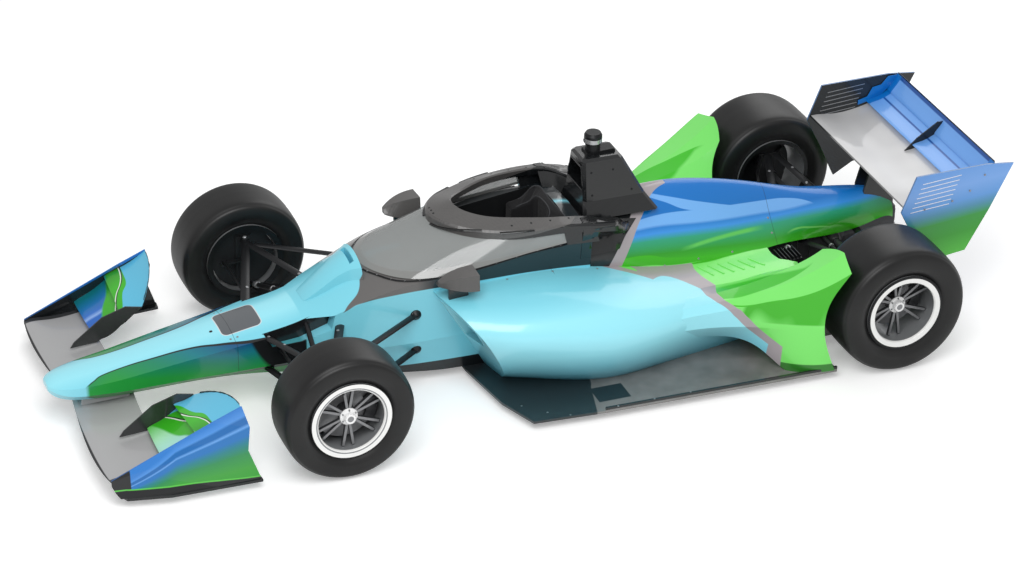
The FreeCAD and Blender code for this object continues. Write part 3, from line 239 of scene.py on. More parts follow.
def oblong(tree, along, across, half_length, half_width, corner):
    """1 inside an oblong with round corners; along and across are measured from its middle."""
    reach = []
    for value, half in ((along, half_length), (across, half_width)):
        past = beyond(tree, add(tree, "Math", {0: value}, operation="ABSOLUTE"), half - corner)
        reach.append(either(tree, past, 0.0))
    away = add(tree, "VectorMath", {0: add(tree, "CombineXYZ", {0: reach[0], 1: reach[1]})},
               operation="LENGTH").outputs["Value"]
    return over(tree, corner, away, 0.5 * MM)


ENAMEL = {"Roughness": 0.3, "Coat Weight": 0.6, "Coat Roughness": 0.06, "Specular IOR Level": 0.35}
PEEL_SIZE = 7 * MM      # the skin of sprayed enamel ripples at 1 to 2 mm, drawn coarser so that it shows
THREAD = 9 * MM         # a 2 by 2 twill of 3 mm tows, drawn three times as coarse so that it shows
SEAM_WIDTH = 3 * MM     # panel gaps are about 1 mm, drawn wider so that they show
PEEL_DEPTH = 0.05 * MM


def peel(tree, point):
    """The faint ripple of sprayed enamel."""
    return add(tree, "TexNoise", {"Vector": point, "Scale": 1 / PEEL_SIZE, "Detail": 1.0})


def sprayed(material, tree, colour, point, seams=None):
    """Enamel with its ripple, and panel gaps drawn as dark sunk lines where seams is 1."""
    height = peel(tree, point)
    if seams is not None:
        stain = add(tree, "Math", {0: seams, 1: 0.6}, operation="MULTIPLY")
        colour = layered(tree, colour, [(stain, CARBON_DARK)])
        height = beyond(tree, height, add(tree, "Math", {0: seams, 1: 8.0}, operation="MULTIPLY"))
    return finished(material, tree, colour, ENAMEL, height, PEEL_DEPTH)


def twill(tree, point):
    """Woven carbon tows: bands at 45 degrees that pass over and under each other."""
    turned = add(tree, "Mapping", {0: point, "Rotation": (0.0, math.radians(45), math.radians(45)),
                                   "Scale": (1 / THREAD,) * 3})
    squares = add(tree, "TexChecker", {0: turned, "Scale": 1.0})
    warp = add(tree, "TexWave", {0: turned, "Scale": 0.6}, bands_direction="X")
    weft = add(tree, "TexWave", {0: turned, "Scale": 0.6}, bands_direction="Y")
    return add(tree, "Mix", {0: squares.outputs[1], 6: warp, 7: weft}, data_type="RGBA").outputs[2]


def carbon_colour(tree, point, dark=CARBON_DARK, light=CARBON_LIGHT):
    """The weave's two shades."""
    return layered(tree, linear(dark), [(twill(tree, point), light)])


def lacquered_carbon(name="lacquered_carbon_twill", dark=CARBON_DARK, light=CARBON_LIGHT, roughness=0.3):
    """Carbon cloth in epoxy under clear lacquer: near black, with a glint on every tow."""
    material, tree = new_material(name)
    point = rest_point(tree)
    weave = twill(tree, point)
    colour = carbon_colour(tree, point, dark, light)
    settings = {"Roughness": roughness, "Coat Weight": 0.5, "Coat Roughness": 0.1}
    return finished(material, tree, colour, settings, weave, 0.1 * MM)


# Where the nose's cyan top ends: how far out and how high, by distance back.
NOSE_EDGE_OUT = [(-1.2, 0.170), (-1.11, 0.134), (-1.053, 0.110), (-0.988, 0.085), (-0.871, 0.078),
                 (-0.729, 0.085), (-0.588, 0.095), (-0.4, 0.140), (-0.212, 0.189), (0.0, 0.215)]
NOSE_EDGE_UP = [(-1.2, 0.235), (-1.11, 0.254), (-0.988, 0.300), (-0.729, 0.344), (-0.588, 0.367),
                (-0.4, 0.390), (-0.212, 0.409), (0.0, 0.430)]
# The grey screen surround's lower edge by distance back, and its front edge by height.
APRON_EDGE = [(0.16, 0.480), (0.208, 0.503), (0.33, 0.556), (0.46, 0.578), (0.62, 0.592), (0.9, 0.600),
              (1.2, 0.598), (1.6, 0.560)]
APRON_FRONT = [(0.48, 0.19), (0.503, 0.208), (0.65, 0.345), (0.8, 0.36)]
NUMBER_PANEL = (-0.2735, 0.1075, 0.106, 0.035)      # middle, half length, half width, corner
NOSE_JOINT = -0.330
POCKET_WALL = 0.170
TUB_FOOT = 0.130
COCKPIT_BLACK = "1A1B1C"

# The heights under which the mirrors and the screen frame turn gloss black, by distance back.
MIRROR_FOOT = [(0.6, 0.630), (0.9, 0.636)]
FRAME_FOOT = [(0.70, 0.770), (1.10, 0.800), (1.20, 0.812), (1.30, 0.830), (1.40, 0.844), (1.52, 0.868),
              (1.66, 0.90)]


def two_tone_carbon(name, foot):
    """Satin grey carbon that turns gloss black under a height given by distance back."""
    material, tree = new_material(name)
    back, _, up, point = position(tree)
    leg = below(tree, up, back, foot)
    colour = layered(tree, carbon_colour(tree, point, "484746", "5C5A59"), [(leg, BLACK)])
    gloss = add(tree, "MapRange", {0: leg, 3: 0.4, 4: 0.18})
    settings = {"Roughness": gloss, "Coat Weight": 0.4}
    return finished(material, tree, colour, settings, twill(tree, point), 0.1 * MM)


def nose_enamel():
    """Cyan enamel on nose and tub, blue to green under the shoulder line, and a black cockpit band."""
    material, tree = new_material("sprayed_enamel_cyan")
    back, out, up, point = position(tree)
    outside = beyond(tree, out, profile(tree, back, NOSE_EDGE_OUT))
    drop = beyond(tree, profile(tree, back, NOSE_EDGE_UP), up)
    ahead = over(tree, 0.02, back, 0.004)
    low_side = both(tree, over(tree, outside, 0.0), over(tree, drop, -0.012), ahead)
    under = both(tree, over(tree, drop, 0.06, 0.01), ahead, over(tree, back, -1.06, 0.02))
    lower_mask = either(tree, low_side, under)
    depth = add(tree, "Math", {0: drop, 1: 0.2}, operation="DIVIDE")
    forward = part_of(tree, back, -0.35, -0.95)
    share = add(tree, "Math", {0: forward, 1: 0.7, 2: depth}, operation="MULTIPLY_ADD")
    lower = faded(tree, share, [(0.0, SHOULDER_BLUE), (0.28, SHOULDER_TEAL), (0.5, SHOULDER_GREEN),
                                (0.8, FOOT_GREEN)])
    tip = over(tree, back, -1.09, 0.01)
    # Painted shade: a black band along the crease under the nose's cyan top, widening rearwards.
    shoulder_width = profile(tree, back, [(-1.0, 0.006), (-0.5, 0.012), (-0.2, 0.022), (0.0, 0.03)])
    shoulder = both(tree, low_side, over(tree, shoulder_width, outside), tip)
    pocket = both(tree, between(tree, out, POCKET_WALL - 2 * MM, POCKET_WALL + 2 * MM, 0.5 * MM),
                  between(tree, back, -0.195, 0.175, 0.002), over(tree, 0.47, up, 0.004))
    behind = above(tree, back, up, APRON_FRONT)
    apron = both(tree, above(tree, up, back, APRON_EDGE), behind, over(tree, out, 0.02, 0.02))
    middle, half_length, half_width, corner = NUMBER_PANEL
    along = beyond(tree, back, middle)
    rim = 5 * MM
    panel = both(tree, oblong(tree, along, out, half_length, half_width, corner),
                 over(tree, up, 0.36, 0.01))
    inner = both(tree, panel, oblong(tree, along, out, half_length - rim, half_width - rim, corner - rim))
    # Painted highlight: the lighter cyan down the middle of the nose ahead of the front axle.
    nose_painted_highlight = both(tree, over(tree, 0.10, out, 0.05), ahead)
    foot = both(tree, over(tree, TUB_FOOT, up), over(tree, back, 0.20, 0.01))
    inward = opposite(tree, outward(tree, -0.03))
    low = both(tree, opposite(tree, outward(tree, 0.01)), over(tree, 0.5, up, 0.01))
    normal = add(tree, "NewGeometry").outputs["Normal"]
    lengthwise = add(tree, "Math", {0: add(tree, "SeparateXYZ", {0: normal}).outputs[0]},
                     operation="ABSOLUTE")
    bulkhead = both(tree, over(tree, lengthwise, 0.7, 0.05), over(tree, 0.30, out, 0.004))
    walls = either(tree, inward, low, bulkhead)
    inside = both(tree, walls, between(tree, back, 0.45, 1.525, 0.004), over(tree, 0.335, out, 0.004))
    seam = both(tree, near_line(tree, back, NOSE_JOINT, SEAM_WIDTH), over(tree, 0.24, out, 0.01))
    colour = layered(tree, linear(CYAN), [
        (nose_painted_highlight, CYAN_HIGHLIGHT), (both(tree, lower_mask, tip), lower), (shoulder, BLACK), (pocket, BLACK),
        (panel, "D9DDDF"), (inner, PANEL_GREY), (apron, APRON_GREY),
        (both(tree, apron, over(tree, back, 0.62, 0.04)), SLATE), (foot, BLACK), (inside, COCKPIT_BLACK)])
    return sprayed(material, tree, colour, point, seam)


# The engine cover's stripe by height, and the edges of its streaks by distance back.
STRIPE_UP = [(0.50, 1.612), (0.557, 1.642), (0.645, 1.716), (0.714, 1.800), (0.778, 1.885), (0.80, 1.975)]
STREAK_ONE_TOP = [(1.9, 0.790), (2.015, 0.764), (2.223, 0.704), (2.483, 0.634), (2.6, 0.610)]
STREAK_ONE_FOOT = [(1.9, 0.780), (2.009, 0.742), (2.155, 0.680), (2.327, 0.650), (2.483, 0.632),
                   (2.6, 0.615)]
STREAK_TWO_TOP = [(1.7, 0.690), (1.95, 0.694), (2.216, 0.672), (2.583, 0.636), (2.71, 0.620), (2.9, 0.566)]
STREAK_TWO_FOOT = [(1.7, 0.670), (1.884, 0.656), (2.199, 0.620), (2.563, 0.586), (2.749, 0.570),
                   (2.9, 0.568)]
BLUE_FOOT = [(1.7, 0.625), (1.823, 0.609), (2.181, 0.570), (2.545, 0.538), (2.795, 0.524), (3.1, 0.512),
             (3.4, 0.500)]
LIGHT_LINE = [(1.8, 0.552), (1.98, 0.530), (2.306, 0.539), (2.48, 0.535), (2.56, 0.530)]
TAIL_LINE = [(2.70, 0.478), (2.751, 0.485), (2.858, 0.470), (3.071, 0.423)]
FOOT_EDGE = [(1.64, 0.560), (1.803, 0.552), (1.982, 0.508), (2.176, 0.477), (2.371, 0.460), (3.4, 0.380)]
FOOT_LIGHT = [(1.64, 0.51), (1.84, 0.496), (2.006, 0.468), (2.166, 0.455), (3.4, 0.360)]


def cover_enamel():
    """Engine cover: black ahead of a grey stripe, then blue with pale streaks that fades to green."""
    material, tree = new_material("sprayed_enamel_blue_to_green")
    back, out, up, point = position(tree)
    height = beyond(tree, up, profile(tree, back, BLUE_FOOT))
    share = part_of(tree, height, -0.1, 0.1)
    fade = faded(tree, share, [(0.0, GREEN_DEEP), (0.2, COVER_GREEN), (0.5, COVER_TEAL), (0.64, "3A94E6"),
                               (0.8, COVER_BLUE)])
    one = both(tree, below(tree, up, back, STREAK_ONE_TOP), above(tree, up, back, STREAK_ONE_FOOT))
    two = both(tree, below(tree, up, back, STREAK_TWO_TOP),
               above(tree, up, back, STREAK_TWO_FOOT, 0.006), over(tree, 2.9, back, 0.01))
    thin = both(tree, near_line(tree, up, profile(tree, back, LIGHT_LINE), 0.016),
                between(tree, back, 2.1, 2.52, 0.05))
    tail = both(tree, near_line(tree, up, profile(tree, back, TAIL_LINE), 0.008),
                between(tree, back, 2.72, 2.95, 0.03))
    foot = below(tree, up, back, FOOT_EDGE)
    foot_light = below(tree, up, back, FOOT_LIGHT)
    past = beyond(tree, back, profile(tree, up, STRIPE_UP))
    seam = either(tree, both(tree, near_line(tree, back, 2.62, SEAM_WIDTH), over(tree, up, 0.3, 0.01)),
                  both(tree, near_line(tree, out, 0.0, SEAM_WIDTH), over(tree, back, 1.97, 0.01)))
    colour = layered(tree, fade, [
        (one, COVER_STREAK), (two, COVER_STREAK), (thin, "5FC65A"), (tail, "6CCB62"), (foot, GREEN_DEEP),
        (foot_light, GREEN_LIGHT), (over(tree, 0.082, past), STRIPE_GREY),
        (over(tree, 0.0, past), BLACK)])
    return sprayed(material, tree, colour, point, seam)


# The pod's slanting stripe by its place out and, low on the guard, by height; then the bands of painted
# shade.
STRIPE_OUT = [(0.25, 1.49), (0.326, 1.625), (0.412, 1.789), (0.512, 1.919), (0.592, 2.005), (0.678, 2.073),
              (0.72, 2.095), (1.0, 2.10)]
STRIPE_LOW = [(0.20, 2.330), (0.276, 2.243), (0.322, 2.198), (0.370, 2.156), (0.430, 2.085), (0.52, 1.5)]
STRIPE_WIDTH = [(0.30, 0.105), (0.41, 0.083), (0.51, 0.078), (0.60, 0.066), (0.70, 0.058)]
BAND_ONE = [(1.6, 0.300), (2.17, 0.300), (2.31, 0.281), (2.6, 0.26)]
BAND_TWO_IN = [(1.95, 0.575), (2.036, 0.556), (2.164, 0.537), (2.320, 0.548), (2.449, 0.612), (2.56, 0.68)]
BAND_TWO_OUT = [(1.95, 0.592), (2.026, 0.606), (2.114, 0.646), (2.252, 0.691), (2.405, 0.706),
                (2.51, 0.704), (2.624, 0.664)]
GUARD_LINE = [(2.10, 0.665), (2.214, 0.752), (2.331, 0.810), (2.438, 0.863), (2.572, 0.911), (2.72, 0.942)]


def pod_enamel():
    """Sidepods and wheel guards: cyan, a slanting grey stripe, then light green with deeper bands of
    painted shade.
    """
    material, tree = new_material("sprayed_enamel_cyan_to_green")
    back, out, up, point = position(tree)
    stripe = either(tree, profile(tree, out, STRIPE_OUT), profile(tree, up, STRIPE_LOW))
    past = beyond(tree, back, stripe)
    behind = above(tree, past, out, STRIPE_WIDTH)
    # Painted shade: deeper green in the corner beside the engine cover, in the guard's valley and along its
    # crease.
    cover_corner_shade = below(tree, out, back, BAND_ONE, 0.004)
    guard_valley_shade = both(tree, above(tree, out, back, BAND_TWO_IN, 0.012),
                    below(tree, out, back, BAND_TWO_OUT, 0.003), over(tree, up, 0.36, 0.01),
                    over(tree, 2.60, back, 0.03))
    guard_crease_shade = both(tree, near_line(tree, out, profile(tree, back, GUARD_LINE), 0.009),
                      over(tree, up, 0.34, 0.004))
    edge = both(tree, over(tree, back, 2.30, 0.02), over(tree, 0.105, up, 0.002))
    green = layered(tree, linear(GREEN_LIGHT), [
        (cover_corner_shade, GREEN_DEEP), (guard_valley_shade, "3CC21C"), (guard_crease_shade, GREEN_DEEP), (edge, "2F7F26")])
    # Painted light on the cyan: the sides under 0.50 m take the lighter cyan as a painted highlight, the
    # top over 0.56 m the plain cyan, and painted shade darkens it towards the bottom.
    shade = part_of(tree, up, 0.50, 0.56)
    lit = layered(tree, linear(CYAN_HIGHLIGHT), [(shade, CYAN)])
    cyan = layered(tree, lit, [(part_of(tree, up, 0.30, 0.08), "6FC6DC")])
    colour = layered(tree, cyan, [(over(tree, past, 0.0), STRIPE_GREY), (behind, green)])
    seam = both(tree, near_line(tree, back, 1.30, SEAM_WIDTH), over(tree, up, 0.2, 0.01),
                over(tree, 0.36, out, 0.02))
    return sprayed(material, tree, colour, point, seam)


def outward(tree, out_limit=0.0):
    """1 on faces that look away from the car's middle."""
    normal = add(tree, "NewGeometry").outputs["Normal"]
    across = add(tree, "SeparateXYZ", {0: normal}).outputs[1]
    side = add(tree, "SeparateXYZ", {0: rest_point(tree)}).outputs[1]
    return over(tree, add(tree, "Math", {0: across, 1: side}, operation="MULTIPLY"), out_limit, 0.001)


# The front endplates' top edge, foot and fine green line, by distance back.
PLATE_TOP = [(-1.166, 0.148), (-0.43, 0.470)]
PLATE_FOOT = 0.062
PLATE_LINE = [(-1.10, 0.099), (-1.059, 0.096), (-0.722, 0.090), (-0.445, 0.071), (-0.40, 0.070)]


def front_plate_enamel():
    """Front wing endplates: bands of blue over green that fan out from the tip; bare carbon inside."""
    material, tree = new_material("sprayed_enamel_endplate")
    back, _, up, point = position(tree)
    top = add(tree, "MapRange", {0: back, 1: PLATE_TOP[0][0], 2: PLATE_TOP[1][0], 3: PLATE_TOP[0][1],
                                 4: PLATE_TOP[1][1]})
    height = add(tree, "Math", {0: beyond(tree, up, PLATE_FOOT), 1: beyond(tree, top, PLATE_FOOT)},
                 operation="DIVIDE")
    forward = part_of(tree, back, -0.85, -1.08)
    share = add(tree, "Math", {0: forward, 1: 0.32, 2: height}, operation="MULTIPLY_ADD")
    fan = faded(tree, share, [(0.0, "2F9E2C"), (0.16, "3B9E38"), (0.36, "2A8C50"), (0.50, "1C7F8C"),
                              (0.60, "1A72BA"), (0.69, "1A72BA"), (0.72, "66A2E4"), (0.76, "1468B0"),
                              (0.84, "1468B0"), (0.88, "4A90DC"), (1.0, "2E7CCC")])
    line = near_line(tree, up, profile(tree, back, PLATE_LINE), 0.006)
    bare = either(tree, below(tree, up, back, PLATE_LINE), over(tree, -1.075, back))
    edge = over(tree, height, 0.975, 0.004)
    outside = layered(tree, fan, [(bare, BLACK), (line, "5CC94A")])
    colour = layered(tree, carbon_colour(tree, point), [(edge, "2A74C8"), (outward(tree), outside)])
    return sprayed(material, tree, colour, point)


# The front flaps' cyan edge, their white line and their patch, by place out.
FLAP_SPLIT = [(0.447, -0.799), (0.473, -0.736), (0.607, -0.691), (0.670, -0.654), (0.744, -0.647),
              (0.84, -0.645)]
FLAP_LINE = [(0.44, -0.790), (0.474, -0.772), (0.612, -0.721), (0.691, -0.675), (0.751, -0.657),
             (0.84, -0.650)]
FLAP_PATCH = [(0.447, -0.864), (0.512, -0.834), (0.646, -0.790), (0.711, -0.753), (0.84, -0.72)]


def flap_enamel():
    """Front flaps: cyan over green, with a pale patch in front on one side and a blue one on the other."""
    material, tree = new_material("sprayed_enamel_flaps")
    back, out, _, point = position(tree)
    side = add(tree, "SeparateXYZ", {0: point}).outputs[1]
    left = over(tree, side, 0.0, 0.01)
    split = above(tree, back, out, FLAP_SPLIT)
    line = profile(tree, out, FLAP_LINE)
    front = below(tree, back, out, FLAP_PATCH, 0.006)
    spread = part_of(tree, out, 0.45, 0.80)
    pale = faded(tree, spread, [(0.0, "66D25A"), (0.35, "A6E7B4"), (1.0, "A9E0F2")])
    blue = faded(tree, spread, [(0.0, "1B62C4"), (0.45, "1668C8"), (0.5, "8FB6F2"), (0.58, "2A72CE"),
                                (1.0, "127A86")])
    width = part_of(tree, out, 0.45, 0.82)
    green = faded(tree, width, [(0.0, "33B01C"), (0.6, "3CB81E"), (1.0, "2C8A1E")])
    strake = over(tree, 0.449, out)
    patch = layered(tree, blue, [(left, pale)])
    white = near_line(tree, back, beyond(tree, line, 0.004), 0.005)
    black = near_line(tree, back, beyond(tree, line, -0.002), 0.005)
    colour = layered(tree, green, [(front, patch), (white, "F2F4F0"), (black, BLACK), (split, "5FC0E2"),
                                   (strake, "2A2C2D")])
    return sprayed(material, tree, colour, point)


# The front plane's leading edge by place out, and its bare strip's width.
MAIN_LEAD = [(0.0, -1.136), (0.36, -1.176), (0.69, -1.180), (0.804, -1.168)]
MAIN_STRIP = 9 * MM


def front_plane_enamel():
    """The front plane: light grey enamel behind a narrow bare carbon leading strip."""
    material, tree = new_material("sprayed_enamel_grey_front")
    back, out, _, point = position(tree)
    behind_lead = beyond(tree, back, profile(tree, out, MAIN_LEAD))
    tips = over(tree, out, 0.775)
    colour = layered(tree, linear(WING_GREY), [
        (over(tree, MAIN_STRIP, behind_lead), BLACK), (tips, "3A3B3D"),
        (over(tree, 0.088, out, 0.004), "A9ABAC")])
    return sprayed(material, tree, colour, point)


def rear_plane_enamel():
    """The rear plane: light grey enamel with a carbon leading edge."""
    material, tree = new_material("sprayed_enamel_grey_rear")
    back, _, _, point = position(tree)
    cloud = add(tree, "TexNoise", {"Vector": point, "Scale": 3.0, "Detail": 1.0})
    pale = faded(tree, cloud, [(0.35, "B9B9BA"), (0.65, "CFCFCF")])
    colour = layered(tree, pale, [(over(tree, 3.186, back), BLACK)])
    return sprayed(material, tree, colour, point)


def rear_plate_enamel():
    """Rear wing endplates: pale blue over green outside, carbon inside."""
    material, tree = new_material("sprayed_enamel_rear_endplate")
    back, _, up, point = position(tree)
    lean = add(tree, "Math", {0: beyond(tree, back, 3.2), 1: 0.10}, operation="MULTIPLY")
    share = part_of(tree, beyond(tree, up, lean), 0.34, 0.88)
    fade = faded(tree, share, [(0.0, "55C93B"), (0.28, "2E9E22"), (0.44, "2F9A3A"), (0.55, "4C93B4"),
                               (0.64, "62A0E4"), (0.8, "7CAEF0"), (1.0, "6AA2E8")])
    colour = layered(tree, carbon_colour(tree, point, "151719", "2B2F32"), [(outward(tree), fade)])
    return sprayed(material, tree, colour, point)


def rear_flap_enamel():
    """The rear flaps: pale blue with deeper blue edges, and a carbon bracket in the middle."""
    material, tree = new_material("sprayed_enamel_pale_blue")
    back, out, up, point = position(tree)
    ends = over(tree, out, 0.500)
    edges = either(tree, near_line(tree, back, 3.601, 0.010), over(tree, back, 3.690))
    bracket = both(tree, over(tree, 0.005, out, 0.3 * MM), over(tree, 0.88, up))
    colour = layered(tree, linear("6EA6EC"), [(edges, "0E4F9E"), (ends, COVER_BLUE), (bracket, BLACK)])
    return sprayed(material, tree, colour, point)


def plain_enamel(name, code, roughness=0.32):
    """One sprayed colour with the ripple of enamel."""
    material, tree = new_material(name)
    point = rest_point(tree)
    dust = add(tree, "TexNoise", {"Vector": point, "Scale": 9.0, "Detail": 2.0})
    shade = add(tree, "MapRange", {0: dust, 1: 0.3, 2: 0.7, 3: 0.96, 4: 1.02})
    colour = add(tree, "VectorMath", {0: linear(code)[:3], "Scale": shade}, operation="SCALE")
    settings = dict(ENAMEL)
    settings["Roughness"] = roughness
    return finished(material, tree, colour, settings, peel(tree, point), PEEL_DEPTH)


def polycarbonate():
    """Thick tinted polycarbonate: clear enough to see into, hard and glossy, denser at the foot."""
    material, tree = new_material("tinted_polycarbonate")
    back, _, up, point = position(tree)
    foot_up = profile(tree, back, [(0.3, 0.672), (0.6, 0.676), (0.9, 0.704), (1.4, 0.752)])
    foot = over(tree, foot_up, up, 0.003)
    colour = layered(tree, linear("A3A7A6"), [(foot, "838482")])
    haze = add(tree, "MapRange", {0: foot, 3: 0.6, 4: 1.0})
    ripple = add(tree, "TexNoise", {"Vector": point, "Scale": 6.0, "Detail": 1.0})
    settings = {"Alpha": haze, "Roughness": 0.06, "IOR": 1.58, "Coat Weight": 0.5}
    return finished(material, tree, colour, settings, ripple, 0.4 * MM)


def tyre_rubber():
    """Moulded slick rubber: matt tread with fine graining round the tyre, smoother side walls."""
    material, tree = new_material("moulded_slick_rubber")
    point = rest_point(tree)
    grain = add(tree, "TexNoise", {"Vector": point, "Scale": 1 / (6 * MM), "Detail": 3.0, "Roughness": 0.6})
    scuff = add(tree, "TexNoise", {"Vector": point, "Scale": 5.0, "Detail": 2.0})
    colour = faded(tree, scuff, [(0.3, "0D0D0E"), (0.7, "191919")])
    return finished(material, tree, colour, {"Roughness": 0.42, "Specular IOR Level": 0.45}, grain,
                    0.25 * MM)


def metal(name, code, roughness, metallic=1.0, grain=3 * MM):
    """A metal part with the fine scatter that its casting, turning or coating leaves."""
    material, tree = new_material(name)
    point = rest_point(tree)
    speck = add(tree, "TexNoise", {"Vector": point, "Scale": 1 / grain, "Detail": 3.0})
    shade = add(tree, "MapRange", {0: speck, 1: 0.3, 2: 0.7, 3: 0.85, 4: 1.1})
    colour = add(tree, "VectorMath", {0: linear(code)[:3], "Scale": shade}, operation="SCALE")
    return finished(material, tree, colour, {"Roughness": roughness, "Metallic": metallic}, speck, 0.1 * MM)


def cloth(name, code, thread=1.6 * MM):
    """Woven flame-proof cloth: warp and weft 0.8 mm apart, drawn at twice that, with a soft sheen."""
    material, tree = new_material(name)
    point = rest_point(tree)
    warp = add(tree, "TexWave", {0: point, "Scale": 0.3 / thread}, bands_direction="X")
    weft = add(tree, "TexWave", {0: point, "Scale": 0.3 / thread}, bands_direction="Z")
    weave = either(tree, warp, weft)
    colour = layered(tree, linear("0C0C0D"), [(weave, code)])
    settings = {"Roughness": 0.85, "Sheen Weight": 0.08, "Sheen Roughness": 0.5, "Specular IOR Level": 0.2}
    return finished(material, tree, colour, settings, weave, 0.3 * MM)


# Where the floor's front panel ends, by place out.
FLOOR_SPLIT = [(0.25, 1.44), (0.587, 1.423), (0.655, 1.400), (0.784, 1.365), (0.914, 1.330)]


def floor_laminate():
    """Carbon laminate floor: a near black front panel and a greyer main panel under worn lacquer."""
    material, tree = new_material("floor_carbon_laminate")
    back, out, up, point = position(tree)
    split = above(tree, back, out, FLOOR_SPLIT)
    scuff = add(tree, "TexNoise", {"Vector": point, "Scale": 7.0, "Detail": 3.0})
    worn = faded(tree, scuff, [(0.35, "757472"), (0.65, "8A8886")])
    # Painted shadow and reflection: a slate patch on the floor beside the pod.
    patch = both(tree, between(tree, back, 1.385, 1.56), between(tree, out, 0.665, 0.80))
    weave = add(tree, "Math", {0: twill(tree, point), 1: 0.25}, operation="MULTIPLY")
    main = layered(tree, worn, [(weave, "3A3A3A"), (patch, SLATE)])
    dark = carbon_colour(tree, point, "191D20", "2A3033")
    lip = over(tree, up, 0.0625, 0.3 * MM)
    colour = layered(tree, dark, [(split, main), (both(tree, lip, over(tree, out, 0.86, 0.01)), BLACK)])
    settings = {"Roughness": 0.28, "Coat Weight": 0.6, "Coat Roughness": 0.12}
    return finished(material, tree, colour, settings, twill(tree, point), 0.08 * MM)


def wheel_alloy(name, axle_x, axle_z, bore):
    """Forged magnesium under grey paint: pale spoke faces, a darker barrel with a bright inner lip of
    painted reflection.
    """
    material, tree = new_material(name)
    point = rest_point(tree)
    away = add(tree, "VectorMath", {0: point, 1: (axle_x, 0.0, axle_z)}, operation="SUBTRACT")
    across = add(tree, "VectorMath", {0: away, 1: (1.0, 0.0, 1.0)}, operation="MULTIPLY")
    radius = add(tree, "VectorMath", {0: across}, operation="LENGTH").outputs["Value"]
    speck = add(tree, "TexNoise", {"Vector": point, "Scale": 1 / (3 * MM), "Detail": 3.0})
    normal = add(tree, "SeparateXYZ", {0: add(tree, "NewGeometry").outputs["Normal"]}).outputs[1]
    facing = over(tree, add(tree, "Math", {0: normal}, operation="ABSOLUTE"), 0.7, 0.2)
    grey = faded(tree, speck, [(0.3, "3C3D3F"), (0.7, "48494B")])
    # Painted light: the faces that look inboard are black as painted shade, and the bright lip past the
    # bore stands in for a reflection.
    inboard_painted_shade = opposite(tree, outward(tree, -0.3))
    colour = layered(tree, grey, [
        (both(tree, facing, over(tree, bore - 8 * MM, radius, 1 * MM)), "8A8B8D"),
        (over(tree, radius, bore - 3 * MM, 1 * MM), "8D8F91"), (inboard_painted_shade, BLACK)])
    return finished(material, tree, colour, {"Roughness": 0.35, "Metallic": 0.35}, speck, 0.08 * MM)


CARBON = lacquered_carbon()
FRAME_CARBON = two_tone_carbon("carbon_screen_frame", FRAME_FOOT)
MIRROR_CARBON = two_tone_carbon("carbon_mirror_shell", MIRROR_FOOT)
SHELL_CARBON = lacquered_carbon("gloss_carbon_shell", "121314", "1C1E20", 0.18)
FLOOR_CARBON = floor_laminate()
NOSE_PAINT = nose_enamel()
COVER_PAINT = cover_enamel()
POD_PAINT = pod_enamel()
PLATE_PAINT = front_plate_enamel()
FLAP_PAINT = flap_enamel()
FRONT_PLANE_PAINT = front_plane_enamel()
REAR_PLANE_PAINT = rear_plane_enamel()
REAR_PLATE_PAINT = rear_plate_enamel()
REAR_FLAP_PAINT = rear_flap_enamel()
SCREEN = polycarbonate()
RUBBER = tyre_rubber()
NUT_METAL = metal("turned_aluminium", "F6F6F6", 0.32, 0.05)
STEEL = metal("zinc_plated_steel", "A8A9AB", 0.35, 0.8)
BLACK_METAL = metal("black_anodised_aluminium", "1E1F21", 0.4, 0.5)
WHITE_ENAMEL = plain_enamel("baked_enamel_white", WHITE)
BLUE_ENAMEL = plain_enamel("sprayed_enamel_deep_blue", COVER_BLUE)
GREEN_ENAMEL = plain_enamel("sprayed_enamel_light_green", GREEN_LIGHT)
CAST = metal("cast_aluminium", "4E4F51", 0.5, 0.7)
COATED_STEEL = metal("coated_steel_arm", "232426", 0.38, 0.4)
HUB_METAL = metal("machined_upright", "2A2C2E", 0.5, 0.5)
PAD_CLOTH = cloth("woven_aramid_cloth", "1D1D1F")
PIPING = cloth("woven_edge_binding", "4A4B4E")
BELT = cloth("woven_polyester_belt", "1D3C8C", 2.4 * MM)
RED_LENS = plain_enamel("moulded_acrylic_red", "8A1216", 0.18)
MIRROR_GLASS = metal("silvered_glass", "C9CED2", 0.04, 1.0, 40 * MM)
SMOKED_GLASS = plain_enamel("smoked_glass", "202326", 0.08)
PALE_BAND = metal("brushed_aluminium_band", "B9BABC", 0.3, 0.7)
# Black of painted shade, standing for the dark inside the frame's demisting slots.
SLOT_SHADE_BLACK = plain_enamel("painted_slot_shade", "0B0C0D", 0.12)
RUBBER_BOOT = plain_enamel("moulded_nitrile_boot", "1B1B1C", 0.6)
BUTTON_COLOURS = {"red": "B8201E", "yellow": "D9B020", "green": "2E9A3A", "blue": "2458B0"}
BUTTONS = [plain_enamel("moulded_abs_" + name, code, 0.35) for name, code in BUTTON_COLOURS.items()]
FRONT_WHEEL_METAL = wheel_alloy("forged_magnesium_front", front_axle_x, front_axle_z, 0.177)
REAR_WHEEL_METAL = wheel_alloy("forged_magnesium_rear", rear_axle_x, rear_axle_z, 0.190)


def dress(material, *names):
    """Puts a finish on solids of the frame."""
    for name in names:
        node = nodes[name]
        if not node.material_slots:
            node.data.materials.append(material)
        for slot in node.material_slots:
            slot.material = material


def pair(name):
    return name + "_left", name + "_right"


